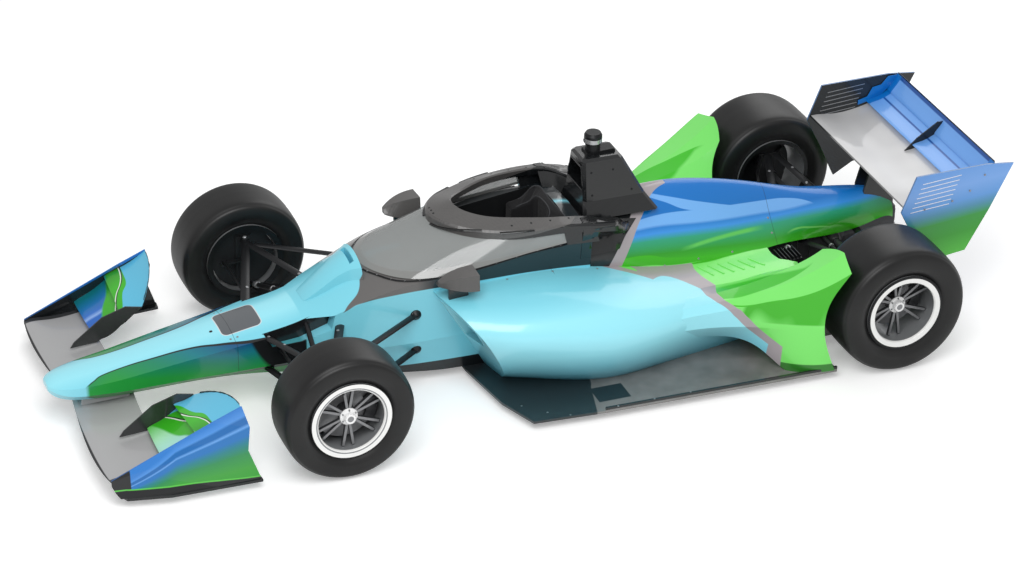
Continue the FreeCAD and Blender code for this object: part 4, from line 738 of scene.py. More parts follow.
dress(NOSE_PAINT, "nose_cone", "monocoque")
dress(COVER_PAINT, "engine_cover")
dress(POD_PAINT, *pair("sidepod"), *pair("wheel_guard"))
dress(PLATE_PAINT, *pair("front_wing_endplate"))
dress(FLAP_PAINT, *pair("front_wing_flaps"))
dress(FRONT_PLANE_PAINT, "front_wing_mainplane")
dress(REAR_PLANE_PAINT, "rear_wing_mainplane")
dress(REAR_FLAP_PAINT, "rear_wing_flaps")
dress(REAR_PLATE_PAINT, *pair("rear_wing_endplate"))
dress(SHELL_CARBON, "roll_hoop")
dress(CARBON, "rear_wing_pylon", "dashboard", "steering_wheel")
dress(FRAME_CARBON, "screen_frame")
dress(MIRROR_CARBON, *pair("mirror"))
dress(BLACK_METAL, "camera_pod")
dress(FLOOR_CARBON, "floor")
dress(SCREEN, "windscreen")
dress(CAST, "engine", "gearbox")
dress(COATED_STEEL, *pair("front_suspension"), *pair("rear_suspension"), "steering_rack")
dress(HUB_METAL, *pair("front_upright"))
dress(FRONT_WHEEL_METAL, *pair("front_wheel"))
dress(REAR_WHEEL_METAL, *pair("rear_wheel"))
dress(RUBBER, *pair("front_tyre"), *pair("rear_tyre"))
dress(PAD_CLOTH, "seat", "headrest")


# Making shapes: each is its points and its faces.
def skin(rows, ends=True, closed=True):
    """A surface through rows of points; each row is an outline, closed or open."""
    count = len(rows[0])
    points = [point for row in rows for point in row]
    faces = []
    for row in range(len(rows) - 1):
        for i in range(count if closed else count - 1):
            j = (i + 1) % count
            faces.append((row * count + i, row * count + j, (row + 1) * count + j, (row + 1) * count + i))
    if ends:
        faces.append(tuple(range(count))[::-1])
        faces.append(tuple((len(rows) - 1) * count + i for i in range(count)))
    return points, faces


def joined(shapes):
    """Several shapes as one."""
    points, faces = [], []
    for more_points, more_faces in shapes:
        start = len(points)
        points += more_points
        faces += [tuple(start + i for i in face) for face in more_faces]
    return points, faces


def turned(profile_points, start, axis, segments=24, ends=True):
    """A turned form: (distance along the axis, radius) from the start."""
    axis = Vector(axis).normalized()
    side = axis.orthogonal().normalized()
    rise = axis.cross(side)
    rows = []
    for along, radius in profile_points:
        row = []
        for step in range(segments):
            angle = 2 * math.pi * step / segments
            row.append(start + axis * along + (side * math.cos(angle) + rise * math.sin(angle)) * radius)
        rows.append(row)
    return skin(rows, ends)


def rod(start, end, radius, segments=16):
    """A round bar with broken edges."""
    length = (end - start).length
    chamfer = min(radius / 4, length / 4)
    return turned([(0, radius - chamfer), (chamfer, radius), (length - chamfer, radius),
                   (length, radius - chamfer)], start, end - start, segments)


def hexagon_nut(start, axis, radius, height):
    """A chamfered hexagon with a domed stud end on it."""
    nut = turned([(0, radius), (0.8 * height, radius), (height, 0.85 * radius)], start, axis, 6)
    stud = turned([(0.9 * height, 0.5 * radius), (1.25 * height, 0.5 * radius),
                   (1.35 * height, 0.38 * radius)], start, axis, 12)
    return joined([nut, stud])


def bar(centre, size, turn=None):
    """A flat-sided bar, turned about its centre."""
    half = Vector(size) / 2
    rows = []
    for x in (-half.x, half.x):
        row = [Vector((x, y, z)) for y, z in ((-half.y, -half.z), (half.y, -half.z), (half.y, half.z),
                                              (-half.y, half.z))]
        rows.append([(turn @ p if turn else p) + Vector(centre) for p in row])
    return skin(rows)


def swept(line, radius, segments=8, flat=1.0, upward=(0, 0, 1)):
    """A tube or flattened strip along a line; flat is its thickness as a share of its width."""
    rows = []
    for i, place in enumerate(line):
        ahead = (line[min(i + 1, len(line) - 1)] - line[max(i - 1, 0)]).normalized()
        side = ahead.cross(Vector(upward))
        side = side.normalized() if side.length > 1e-6 else ahead.orthogonal().normalized()
        rise = side.cross(ahead)
        rows.append([place + side * radius * math.cos(2 * math.pi * k / segments)
                     + rise * radius * flat * math.sin(2 * math.pi * k / segments)
                     for k in range(segments)])
    return skin(rows)


def plate(outline, thickness):
    """A flat plate: an outline and the vector through its thickness."""
    return skin([list(outline), [p + thickness for p in outline]])


def curve_through(points, steps):
    """A smooth line of points through the given ones (Catmull-Rom)."""
    line = []
    led = [points[0]] + list(points) + [points[-1]]
    for a, b, c, d in zip(led, led[1:], led[2:], led[3:]):
        a, b, c, d = Vector(a), Vector(b), Vector(c), Vector(d)
        for step in range(steps):
            t = step / steps
            line.append(0.5 * (2 * b + (c - a) * t + (2 * a - 5 * b + 4 * c - d) * t * t
                               + (3 * b - a - 3 * c + d) * t ** 3))
    line.append(Vector(points[-1]))
    return line


SHARP = math.radians(38)    # the least angle of an edge that stays crisp


def facing_out(name, shape, bevel=0.0):
    """A mesh with its faces looking outwards and, with a bevel, its edges broken."""
    points, faces = shape
    mesh = bpy.data.meshes.new(name)
    mesh.from_pydata([tuple(p) for p in points], [], faces)
    mesh.validate()
    shell = bmesh.new()
    shell.from_mesh(mesh)
    bmesh.ops.recalc_face_normals(shell, faces=shell.faces)
    if bevel:
        edges = [e for e in shell.edges if len(e.link_faces) == 2 and e.calc_face_angle() > SHARP]
        bmesh.ops.bevel(shell, geom=edges, offset=bevel, segments=2, profile=0.6, affect="EDGES",
                        clamp_overlap=True)
    for face in shell.faces:
        face.smooth = True
    for edge in shell.edges:
        if len(edge.link_faces) == 2 and edge.calc_face_angle() > SHARP:
            edge.smooth = False
    shell.to_mesh(mesh)
    shell.free()
    return mesh


def placed(name, data):
    """An object of the scene that holds a mesh, a lamp or a camera."""
    made = bpy.data.objects.new(name, data)
    bpy.context.scene.collection.objects.link(made)
    return made


def piece(name, shape, material, slot, bevel=0.0, body="chassis"):
    """A mesh object that rides on a body and takes the finish given; the slot is not used; bevel breaks its
    edges.
    """
    mesh = facing_out(name, shape, bevel)
    mesh.materials.append(material)
    made = placed(name, mesh)
    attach(made, body)
    return made


def mesh_shape(mesh):
    return [vertex.co.copy() for vertex in mesh.vertices], [tuple(face.vertices) for face in mesh.polygons]


known_surfaces = {}


def surface(*names):
    """The named solids' surfaces, for seating pieces on them."""
    if names not in known_surfaces:
        shape = joined([mesh_shape(nodes[name].data) for name in names])
        known_surfaces[names] = BVHTree.FromPolygons(*shape)
    return known_surfaces[names]


def seat_on(tree, start, way):
    """Where a straight way from a start first meets a surface, with the surface's direction there."""
    place, normal, _, _ = tree.ray_cast(Vector(start), Vector(way).normalized())
    if place is None:
        return None
    if normal.dot(Vector(way)) > 0:
        normal = -normal
    return place, normal


def seats(tree, starts, way):
    """The places and directions found from those starts that meet the surface."""
    found = [seat_on(tree, start, way) for start in starts]
    return [hit for hit in found if hit]


def spoke(angle):
    """A direction square to the axles, at an angle up from straight ahead."""
    return Vector((math.cos(angle), 0, math.sin(angle)))


DOWN = (0, 0, -1)
OVERHEAD = 1.3          # a height over the whole car


def studs(name, hits, radius, height, material, slot="dark_steel"):
    """Flush round fasteners, each with a socket in its head, seated where the hits say."""
    shapes = []
    section = [(0, radius), (1.5 * height, radius), (1.9 * height, 0.8 * radius),
               (1.9 * height, 0.35 * radius), (1.5 * height, 0.3 * radius)]
    for place, normal in hits:
        shapes.append(turned(section, place - normal * height, normal, 14))
    piece(name, joined(shapes), material, slot)


# Wheels and tyres.
End = namedtuple("End", "low high rim rim_width band_outer band_inner hub_inset")
ENDS = {
    "front": End(front_low, front_high, 0.208, 0.268, 0.206, 0.170, 0.052),
    "rear": End(rear_low, rear_high, 0.212, 0.356, 0.200, 0.171, 0.096),
}
TYRE_SEGMENTS = 120
LOCK_PEGS = 6
VALVE_TURN = math.radians(75)


def wheel_centre(size, side):
    centre = (size.low + size.high) / 2
    centre.y *= side
    return centre


def ring(section, centre, segments):
    """A ring turned about an axle across the car, through (radius, offset) points of its section."""
    rows = []
    for step in range(segments + 1):
        angle = 2 * math.pi * step / segments
        rows.append([centre + spoke(angle) * radius + Vector((0, offset, 0)) for radius, offset in section])
    return skin(rows, ends=False)


def tyre_section(radius, half, rim, lip):
    """Bead, two moulded ribs on the wall, shoulder and crown; then the same mirrored."""
    wall = radius - rim
    outer = curve_through([(rim + 0.001, lip, 0), (rim + 0.012, lip + 0.006, 0),
                           (rim + 0.3 * wall, half - 0.003, 0), (rim + 0.52 * wall, half - 0.0005, 0),
                           (rim + 0.78 * wall, 0.955 * half, 0), (radius - 0.017, 0.87 * half, 0),
                           (radius - 0.0065, 0.75 * half, 0), (radius - 0.002, 0.5 * half, 0),
                           (radius - 0.0004, 0.0, 0)], 5)
    half_line = []
    for place in outer:
        rise = (place.x - rim) / wall
        rib = 0.0011 if 0.13 < rise < 0.17 or 0.84 < rise < 0.87 else 0.0
        half_line.append((place.x, place.y - 0.0012 + rib))
    section = half_line + [(r, -o) for r, o in half_line[-2::-1]]
    return section + [(rim - 0.012, -lip + 0.004), (rim - 0.012, lip - 0.004)]


def tyres():
    """Smooth tyres in the place of the faceted ones."""
    for end, size in ENDS.items():
        radius, half = (size.high.z - size.low.z) / 2, (size.high.y - size.low.y) / 2
        section = tyre_section(radius, half, size.rim, size.rim_width / 2 - 0.013)
        for hand, side in HANDS:
            shape = ring(section, wheel_centre(size, side), TYRE_SEGMENTS)
            made = piece(f"smooth_{end}_tyre_{hand}", shape, RUBBER, "tyre_rubber",
                         body=f"{end}_wheel_{hand}")
            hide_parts(f"{end}_tyre_{hand}")


def wheel_dressing():
    """Painted rim band, lip, hub nut with its pegs, and the valve, on the outer side of each wheel."""
    for end, size in ENDS.items():
        flange, outer, inner = size.rim_width / 2, size.band_outer, size.band_inner
        dish = [(outer, flange - 0.004), (outer, flange + 0.0008), (outer - 0.006, flange + 0.0008),
                (inner + 0.004, flange - 0.0005), (inner, flange - 0.006), (inner, flange - 0.014),
                (inner + 0.008, flange - 0.014)]
        edge = [(size.rim + 0.0015, flange - 0.003), (size.rim + 0.001, flange + 0.0006),
                (outer + 0.0005, flange + 0.001), (outer + 0.0005, flange - 0.003)]
        for hand, side in HANDS:
            centre = wheel_centre(size, side)
            axis = Vector((0, side, 0))
            face = centre + axis * (flange - size.hub_inset)
            nut = [turned([(0.001, 0.046), (0.006, 0.046), (0.010, 0.040)], face, axis, 36),
                   turned([(0.008, 0.031), (0.030, 0.030), (0.036, 0.026), (0.036, 0.017), (0.026, 0.014)],
                          face, axis, 12)]
            pegs = []
            for count in range(LOCK_PEGS):
                foot = face + spoke(2 * math.pi * (count + 0.5) / LOCK_PEGS) * 0.038
                pegs.append(turned([(0.004, 0.0045), (0.014, 0.0045), (0.016, 0.003)], foot, axis, 10))
            foot = centre + spoke(VALVE_TURN) * (inner - 0.002) + axis * (flange - 0.030)
            valve = turned([(0.0, 0.005), (0.012, 0.005), (0.013, 0.003), (0.022, 0.003), (0.022, 0.0042),
                            (0.032, 0.0042), (0.034, 0.003)], foot, axis, 12)
            body = f"{end}_wheel_{hand}"
            for name, section, material in (("rim_band", dish, WHITE_ENAMEL),
                                            ("rim_edge", edge, BLACK_METAL)):
                shape = ring([(r, side * o) for r, o in section], centre, TYRE_SEGMENTS)
                piece(f"{name}_{end}_{hand}", shape, material, "wheel_alloy", body=body)
            piece(f"hub_nut_{end}_{hand}", joined(nut), NUT_METAL, "wheel_alloy", 0.0008, body)
            piece(f"drive_pegs_{end}_{hand}", joined(pegs), STEEL, "wheel_alloy", body=body)
            piece(f"valve_{end}_{hand}", valve, BLACK_METAL, "wheel_alloy", body=body)


CALIPER_ARC = 60        # degrees of the disc that a caliper covers
CALIPER_STEPS = 8
# A caliper's section round its disc: (radius, offset from the disc's inner face).
CALIPER_SECTION = [(0.108, -0.020), (0.163, -0.020), (0.166, 0.010), (0.163, 0.040), (0.108, 0.040),
                   (0.108, 0.0265), (0.152, 0.0265), (0.152, -0.0025), (0.108, -0.0025)]


def calipers():
    """A caliper over each brake disc; in front it is held by the upright."""
    for end, size in ENDS.items():
        disc_low = size.rim_width / 2 - size.hub_inset - 0.088
        for hand, side in HANDS:
            centre = wheel_centre(size, side)
            rows = []
            for step in range(CALIPER_STEPS + 1):
                way = spoke(math.radians(180 - CALIPER_ARC / 2 + CALIPER_ARC * step / CALIPER_STEPS))
                rows.append([centre + way * r + Vector((0, side * (disc_low + o), 0))
                             for r, o in CALIPER_SECTION])
            body = f"front_upright_{hand}" if end == "front" else "chassis"
            piece(f"brake_caliper_{end}_{hand}", skin(rows), CAST, "dark_steel", 0.002, body)


# Suspension hardware: the arms' pivot bolts, and each push rod from its low end to its high end.
ARM_BOLTS = {
    "front": ((-0.165, 0.185), (0.205, 0.205), (-0.120, 0.300), (0.160, 0.300)),
    "rear": ((2.79, 0.105), (3.15, 0.105), (2.88, 0.36), (3.09, 0.36), (2.93, 0.50), (3.07, 0.50)),
}
PUSH_RODS = {
    "front": ((0.0, 0.668, 0.223), (0.040, 0.150, 0.440), (0.20, 0.27, 0.66)),
    "rear": ((wheelbase, 0.625, 0.294), (2.930, 0.060, 0.396), (0.22, 0.29, 0.70)),
}
KINGPIN_OUT = 0.702
KINGPIN_NUTS = ((0.472, 1), (0.194, -1))      # height and which way up each nut points


def suspension_hardware():
    """Pivot bolts at the arms' inner ends, kingpin nuts, and the adjusters on the push rods."""
    for hand, side in HANDS:
        for end, places in ARM_BOLTS.items():
            starts = [at(back, side * out, OVERHEAD) for back, out in places]
            hits = seats(surface(f"{end}_suspension_{hand}"), starts, DOWN)
            studs(f"arm_bolts_{end}_{hand}", hits, 0.008, 0.003, STEEL)
        nuts = [hexagon_nut(at(0, side * KINGPIN_OUT, up), (0, 0, way), 0.012, 0.008)
                for up, way in KINGPIN_NUTS]
        piece(f"kingpin_nuts_{hand}", joined(nuts), STEEL, "dark_steel", body=f"front_upright_{hand}")
        for end, (foot, head, (adjuster, *collars)) in PUSH_RODS.items():
            low = at(foot[0], side * foot[1], foot[2])
            way = at(head[0], side * head[1], head[2]) - low
            shapes = [turned([(0, 0.0145), (0.003, 0.0175), (0.034, 0.0175), (0.037, 0.0145)],
                             low + way * adjuster, way, 6)]
            for share in collars:
                shapes.append(turned([(0, 0.014), (0.002, 0.0165), (0.010, 0.0165), (0.012, 0.014)],
                                     low + way * share, way, 20))
            piece(f"push_rod_adjuster_{end}_{hand}", joined(shapes), STEEL, "dark_steel")


# The front arms' long rear legs: back, out and up at the upright, then back and up on the tub.
LONG_LEGS = [((0.034, 0.650, 0.452), (0.575, 0.452)), ((0.040, 0.645, 0.216), (0.585, 0.236))]
LEG_HALF_CHORD = 20 * MM


def long_legs():
    """The arms' rear legs with their faired feet and bolts on the tub's side."""
    for hand, side in HANDS:
        legs, bolts = [], []
        for (back, out, up), (foot_back, foot_up) in LONG_LEGS:
            outer = at(back, side * out, up)
            foot, normal = seat_on(surface("monocoque"), at(foot_back, side, foot_up), (0, -side, 0))
            line = curve_through([outer.lerp(foot, share) for share in (0.0, 0.5, 1.0)], 6)
            legs.append(swept(line, LEG_HALF_CHORD, 14, 0.42))
            legs.append(turned([(-0.004, 0.030), (0.004, 0.028), (0.010, 0.020), (0.018, 0.010)], foot,
                               normal, 24))
            for turn in (0.6, 2.2, 3.8, 5.4):
                spot = foot + spoke(turn) * 0.022
                bolts.append(hexagon_nut(spot + normal * 0.003, normal, 0.004, 0.003))
        piece(f"front_arm_long_legs_{hand}", joined(legs), COATED_STEEL, "dark_steel")
        piece(f"front_leg_bolts_{hand}", joined(bolts), STEEL, "dark_steel")


def shaft_boots():
    """Bellows where the half shafts leave the gearbox."""
    for hand, side in HANDS:
        folds = []
        for fold in range(6):
            along = 0.007 * fold
            folds += [(along, 0.044 - 0.0025 * fold), (along + 0.0035, 0.035 - 0.002 * fold)]
        start = Vector((rear_axle_x, side * 0.125, rear_axle_z))
        shape = turned([(-0.03, 0.044), *folds, (0.046, 0.022), (0.046, 0.019)], start, (0, side, 0), 28)
        piece(f"shaft_boot_{hand}", shape, RUBBER_BOOT, "black_carbon")


# Wings.
def trailing_edge(flap, side, out):
    """Where a front flap ends: the first place on its top met from behind."""
    for step in range(120):
        hit = seat_on(flap, at(-0.500 - 0.002 * step, side * out, OVERHEAD), DOWN)
        if hit and hit[1].z > 0.2:
            return hit[0]


def flap_gurneys():
    """A thin upright strip along the trailing edge of each front flap."""
    deep, rise, sunk = Vector((0.0022, 0, 0)), Vector((0, 0, 0.009)), Vector((0, 0, 0.003))
    for hand, side in HANDS:
        flap = surface(f"front_wing_flaps_{hand}")
        feet = [trailing_edge(flap, side, 0.475 + 0.014 * step) for step in range(23)]
        rows = [[foot - sunk, foot - sunk + deep, foot + deep + rise, foot + rise] for foot in feet if foot]
        piece(f"gurney_strip_front_{hand}", skin(rows), CARBON, "black_carbon")


# The rear endplates' louvre blades.
LOUVRES = 7
LOUVRE_PITCH = 0.0265
LOUVRE_START = (3.200, 0.690)       # the lowest blade: back and up
LOUVRE_LEAN = math.radians(4.5)


def plate_louvres():
    """Rows of thin louvre blades on both faces of each rear endplate."""
    turn = Matrix.Rotation(LOUVRE_LEAN, 3, "Y")
    for hand, side in HANDS:
        for face, out, material in (("outer", 0.5590, WHITE_ENAMEL), ("inner", 0.5475, PALE_BAND)):
            blades = []
            for count in range(LOUVRES):
                rise = LOUVRE_PITCH * count
                middle = at(LOUVRE_START[0] + 0.37 * rise + 0.13, side * out,
                            LOUVRE_START[1] + rise + 0.010)
                blades.append(bar(middle, (0.225, 0.0022, 0.0035), turn))
            piece(f"endplate_louvres_{face}_{hand}", joined(blades), material, "grey_paint", 0.0006)


# The rear flaps' stepped end and the endplates' bolts: back and up.
FLAP_STEPS = [(3.465, 0.748), (3.465, 0.775), (3.520, 0.790), (3.548, 0.842), (3.600, 0.850),
              (3.640, 0.895), (3.694, 0.896), (3.694, 0.868), (3.606, 0.792), (3.560, 0.770)]
ENDPLATE_BOLTS = ((3.56, 0.765), (3.64, 0.845), (3.30, 0.700), (3.46, 0.722))


def rear_wing_trim():
    """Gurney strip on the upper flap, the stepped flap ends, and hinge bolts in the endplates."""
    strip = bar(at(3.7005, 0, 0.902), (0.0018, 1.086, 0.014))
    piece("gurney_strip_rear", strip, CARBON, "black_carbon", 0.0005)
    for hand, side in HANDS:
        outline = [at(back, side * 0.5440, up) for back, up in FLAP_STEPS]
        shape = plate(outline, Vector((0, -side * 0.004, 0)))
        piece(f"flap_end_{hand}", shape, BLUE_ENAMEL, "blue_paint", 0.0008)
        nuts = [hexagon_nut(at(back, side * 0.5582, up), (0, side, 0), 0.0065, 0.004)
                for back, up in ENDPLATE_BOLTS]
        piece(f"endplate_bolts_{hand}", joined(nuts), STEEL, "dark_steel")


# Bodywork details.
FASTENER = (6 * MM, 1.2 * MM)       # radius and height
FLOOR_FASTENER = (5 * MM, 1 * MM)
# The floor's fasteners: back and out.
FLOOR_PLACES = [(1.45, 0.885), (1.65, 0.885), (1.85, 0.885), (2.05, 0.885), (2.25, 0.885), (1.10, 0.80),
                (1.20, 0.86), (1.0, 0.70)]


def fasteners():
    """Quarter-turn fasteners along the joints of the bodywork, flush with it."""
    nose = surface("nose_cone", "monocoque")
    starts = [at(NOSE_JOINT + gap, out, OVERHEAD) for gap in (-0.018, 0.018) for out in (-0.135, 0.135)]
    studs("nose_fasteners", seats(nose, starts, DOWN), *FASTENER, STEEL)
    hits = seats(nose, [at(-0.420, 0.035, OVERHEAD)], DOWN)
    studs("nose_sensor", hits, 0.009, 0.001, SMOKED_GLASS, "black_carbon")
    for hand, side in HANDS:
        starts = [at(back, side * 0.9, 0.475 - 0.02 * (back - 1.9)) for back in (1.75, 1.95, 2.15, 2.35)]
        starts += [at(2.605, side * 0.9, up) for up in (0.50, 0.56)]
        studs(f"cover_fasteners_{hand}", seats(surface("engine_cover"), starts, (0, -side, 0)),
              *FASTENER, STEEL)
        starts = [at(back, side * (0.365 - 0.02 * back), OVERHEAD) for back in (0.80, 1.05, 1.30, 1.55)]
        studs(f"pod_fasteners_{hand}", seats(surface(f"sidepod_{hand}"), starts, DOWN), *FASTENER, STEEL)
        starts = [at(back, side * out, OVERHEAD) for back, out in FLOOR_PLACES]
        studs(f"floor_fasteners_{hand}", seats(surface("floor"), starts, DOWN), *FLOOR_FASTENER, STEEL)


GILLS = 6


def pod_gills():
    """Slanting raised gills on the pod's top beside the engine cover."""
    for hand, side in HANDS:
        gills = []
        for count in range(GILLS):
            starts = [at(2.120 + 0.058 * count + 0.050 * share, side * (0.330 + 0.095 * share), 0.8)
                      for share in (step / 8 for step in range(9))]
            hits = seats(surface(f"sidepod_{hand}"), starts, DOWN)
            line = [place + Vector((0, 0, 0.0015)) for place, _ in hits]
            if len(line) > 2:
                gills.append(swept(line, 0.0052, 8, 0.7))
        piece(f"pod_gills_{hand}", joined(gills), GREEN_ENAMEL, "green_paint")


FINS = 26


def radiators():
    """Finned cores set back in the pods' inlets."""
    for hand, side in HANDS:
        fins = []
        for count in range(FINS):
            up = 0.312 + 0.0085 * count
            reach = 0.150 + 0.050 * math.sin(math.pi * count / FINS)
            fins.append(bar(at(0.8965, side * (0.335 + reach / 2), up), (0.012, reach, 0.0022)))
        for out in (0.340, 0.375, 0.410, 0.445, 0.480):
            fins.append(bar(at(0.8985, side * out, 0.418), (0.006, 0.004, 0.216)))
        piece(f"radiator_core_{hand}", joined(fins), CAST, "dark_steel")


def exhaust_boxes():
    """A finned heat box and its tail pipe in the bay beside each side of the gearbox."""
    for hand, side in HANDS:
        core = bar(at(2.630, side * 0.345, 0.385), (0.130, 0.120, 0.105),
                   Matrix.Rotation(math.radians(6), 3, "Y"))
        ribs = [bar(at(2.578 + 0.020 * count, side * 0.345, 0.440 + 0.002 * count), (0.006, 0.112, 0.022))
                for count in range(6)]
        piece(f"exhaust_box_{hand}", joined([core] + ribs), BLACK_METAL, "dark_steel", 0.002)
        low, high = at(2.600, side * 0.300, 0.360), at(2.698, side * 0.262, 0.430)
        pipe = turned([(0, 0.030), (0.115, 0.030), (0.117, 0.0285), (0.115, 0.027), (0.02, 0.027)],
                      low, high - low, 28)
        piece(f"tail_pipe_{hand}", pipe, STEEL, "dark_steel")


# The left mirror's glass: out and up.
MIRROR_GLASS_CORNERS = [(0.362, 0.646), (0.374, 0.724), (0.470, 0.719), (0.474, 0.652)]


def mirror_glasses():
    """Glass in a rubber surround on the back of each mirror."""
    for hand, side in HANDS:
        outline = [at(0.8445, side * out, up) for out, up in MIRROR_GLASS_CORNERS]
        glass = plate(outline, Vector((-0.0018, 0, 0)))
        piece(f"mirror_glass_{hand}", glass, MIRROR_GLASS, "clear_screen", 0.0006)
        closed = [p + Vector((-0.001, 0, 0)) for p in outline + outline[:1]]
        piece(f"mirror_surround_{hand}", swept(closed, 0.0035, 8), RUBBER_BOOT, "black_carbon")


# Cockpit surround. First the windscreen's foot on the tub: back and out.
SCREEN_FOOT = [(0.362, 0.0), (0.372, 0.065), (0.400, 0.130), (0.500, 0.236), (0.640, 0.292), (0.860, 0.320),
               (1.080, 0.326), (1.290, 0.328), (1.370, 0.328)]


def screen_strip():
    """The clamping strip along the windscreen's foot with its bolts."""
    for hand, side in HANDS:
        starts = [at(back - 0.012, side * (out + 0.004), OVERHEAD)
                  for back, out, _ in curve_through([(back, out, 0) for back, out in SCREEN_FOOT], 6)]
        line = [place + normal * 0.001 for place, normal in seats(surface("monocoque"), starts, DOWN)]
        piece(f"screen_strip_{hand}", swept(line, 0.007, 8, 0.35), BLACK_METAL, "black_carbon")
        normal = Vector((0, side * 0.3, 1)).normalized()
        bolts = [(place + normal * 0.0015, normal) for place in line[2:-1:3]]
        studs(f"screen_bolts_{hand}", bolts, 0.004, 0.0012, STEEL)


# The slots in the screen frame's outer wall: back, out and up.
FRAME_SLOT = [(0.742, 0.045, 0.812), (0.765, 0.09, 0.816), (0.791, 0.129, 0.822), (0.850, 0.185, 0.832),
              (0.905, 0.214, 0.835), (0.950, 0.235, 0.837)]
FRAME_SLOT_TWO = [(1.030, 0.276, 0.828), (1.098, 0.297, 0.833), (1.153, 0.309, 0.835), (1.20, 0.316, 0.836)]
FRAME_BOLT = (5.5 * MM, 1.2 * MM)
FRAME_BOLT_PLACES = ((1.10, 0.262), (1.20, 0.275), (1.30, 0.284), (1.40, 0.286), (1.50, 0.276))


def frame_slots():
    """Demisting slots round the frame's outer wall, drawn as black strips of painted shade, each with a row
    of vent teeth in it.
    """
    rail = surface("screen_frame")
    for hand, side in HANDS:
        for name, points in (("long", FRAME_SLOT), ("short", FRAME_SLOT_TWO)):
            line = []
            for back, out, up in curve_through(points, 5):
                nearest, normal, _, _ = rail.find_nearest(at(back, side * out, up))
                line.append(nearest + normal * 0.001)
            piece(f"demist_slot_{name}_{hand}", swept(line, 0.011, 10, 0.45), SLOT_SHADE_BLACK, "black_carbon")
            teeth = []
            for before, place, after in zip(line, line[1:], line[2:]):
                half = (after - before).normalized() * 0.004
                teeth.append(rod(place - half, place + half, 0.0028, 8))
            piece(f"demist_vents_{name}_{hand}", joined(teeth), BLACK_METAL, "black_carbon")


def frame_bolts():
    """Bolts on the frame's top at its feet and along its rear rails."""
    rail = surface("screen_frame")
    for hand, side in HANDS:
        starts = [at(back, side * out, OVERHEAD) for back, out in FRAME_BOLT_PLACES]
        studs(f"frame_bolts_{hand}", seats(rail, starts, DOWN), *FRAME_BOLT, BLACK_METAL)
    starts = [at(0.765, out, OVERHEAD) for out in (-0.03, 0.0, 0.03)]
    studs("frame_bolts_front", seats(rail, starts, DOWN), *FRAME_BOLT, BLACK_METAL)


# The fairing that carries each rail's end back onto the engine cover: it follows the solids from its
# start to the rail's end and then sinks to the cover, measured round a line inside the shoulder.
FAIRING_START = 1.46
FAIRING_ENDS = (1.695, 1.835)        # its lowest and its highest line
RAIL_END = 1.655
FAIRING_CORE = (0.120, 0.600)       # out and up
FAIRING_TURNS = [6, 13, 20, 27, 34, 41, 48, 55, 62, 69]
FAIRING_ROWS = 18
FAIRING_PROUD = 3 * MM


def fairing_way(side, turn):
    return Vector((0, side * math.cos(turn), math.sin(turn)))


def shoulder_reach(tree, back, side, turn):
    """How far the surface lies from the fairing's core line at a turn up from straight out."""
    way = fairing_way(side, turn)
    core = at(back, side * FAIRING_CORE[0], FAIRING_CORE[1])
    hit = seat_on(tree, core + way * 0.6, -way)
    return (hit[0] - core).dot(way) if hit else 0.05


def fairing_line(side, turn, end, proud):
    """One of the fairing's lengthwise lines, at a turn round the core, up to its end."""
    ahead = surface("monocoque", "screen_frame", "engine_cover")
    behind = surface("engine_cover", "monocoque")
    step_up = shoulder_reach(ahead, RAIL_END - 0.02, side, turn)
    step_up -= shoulder_reach(behind, RAIL_END + 0.02, side, turn)
    line = []
    for step in range(FAIRING_ROWS + 1):
        back = FAIRING_START + (end - FAIRING_START) * step / FAIRING_ROWS
        if back < RAIL_END - 0.01:
            reach = shoulder_reach(ahead, back, side, turn)
        else:
            share = min(max((back - RAIL_END) / (end - RAIL_END), 0.0), 1.0)
            left = 1 - share * share * (3 - 2 * share)
            reach = shoulder_reach(behind, back, side, turn) + max(step_up, 0.0) * left
        core = at(back, side * FAIRING_CORE[0], FAIRING_CORE[1])
        line.append(core + fairing_way(side, turn) * (reach + proud))
    return line


def shoulder_fairings():
    """Gloss black fairings behind the screen frame's rails."""
    low_end, high_end = FAIRING_ENDS
    for hand, side in HANDS:
        outer, inner = [], []
        for count, turn in enumerate(FAIRING_TURNS):
            end = low_end + (high_end - low_end) * count / (len(FAIRING_TURNS) - 1)
            outer.append(fairing_line(side, math.radians(turn), end, FAIRING_PROUD))
            inner.append(fairing_line(side, math.radians(turn), end, -FAIRING_PROUD))
        rows = [list(top) + list(low)[::-1] for top, low in zip(zip(*outer), zip(*inner))]
        piece(f"shoulder_fairing_{hand}", skin(rows), SHELL_CARBON, "black_carbon")


# Half of the intake's mouth (out, up), the screen's wires in it, and the hoop's side bolts.
MOUTH = [(0.066, 1.004), (0.088, 0.931), (0.097, 0.882)]
MOUTH_STEPS = 4
WIRE_UPS = (0.89, 0.91, 0.93, 0.95, 0.97, 0.99)
WIRE_OUTS = (-0.06, -0.03, 0.0, 0.03, 0.06)
HOOP_BOLTS = ((1.60, 0.86), (1.60, 0.98), (1.72, 0.98), (1.82, 0.86))


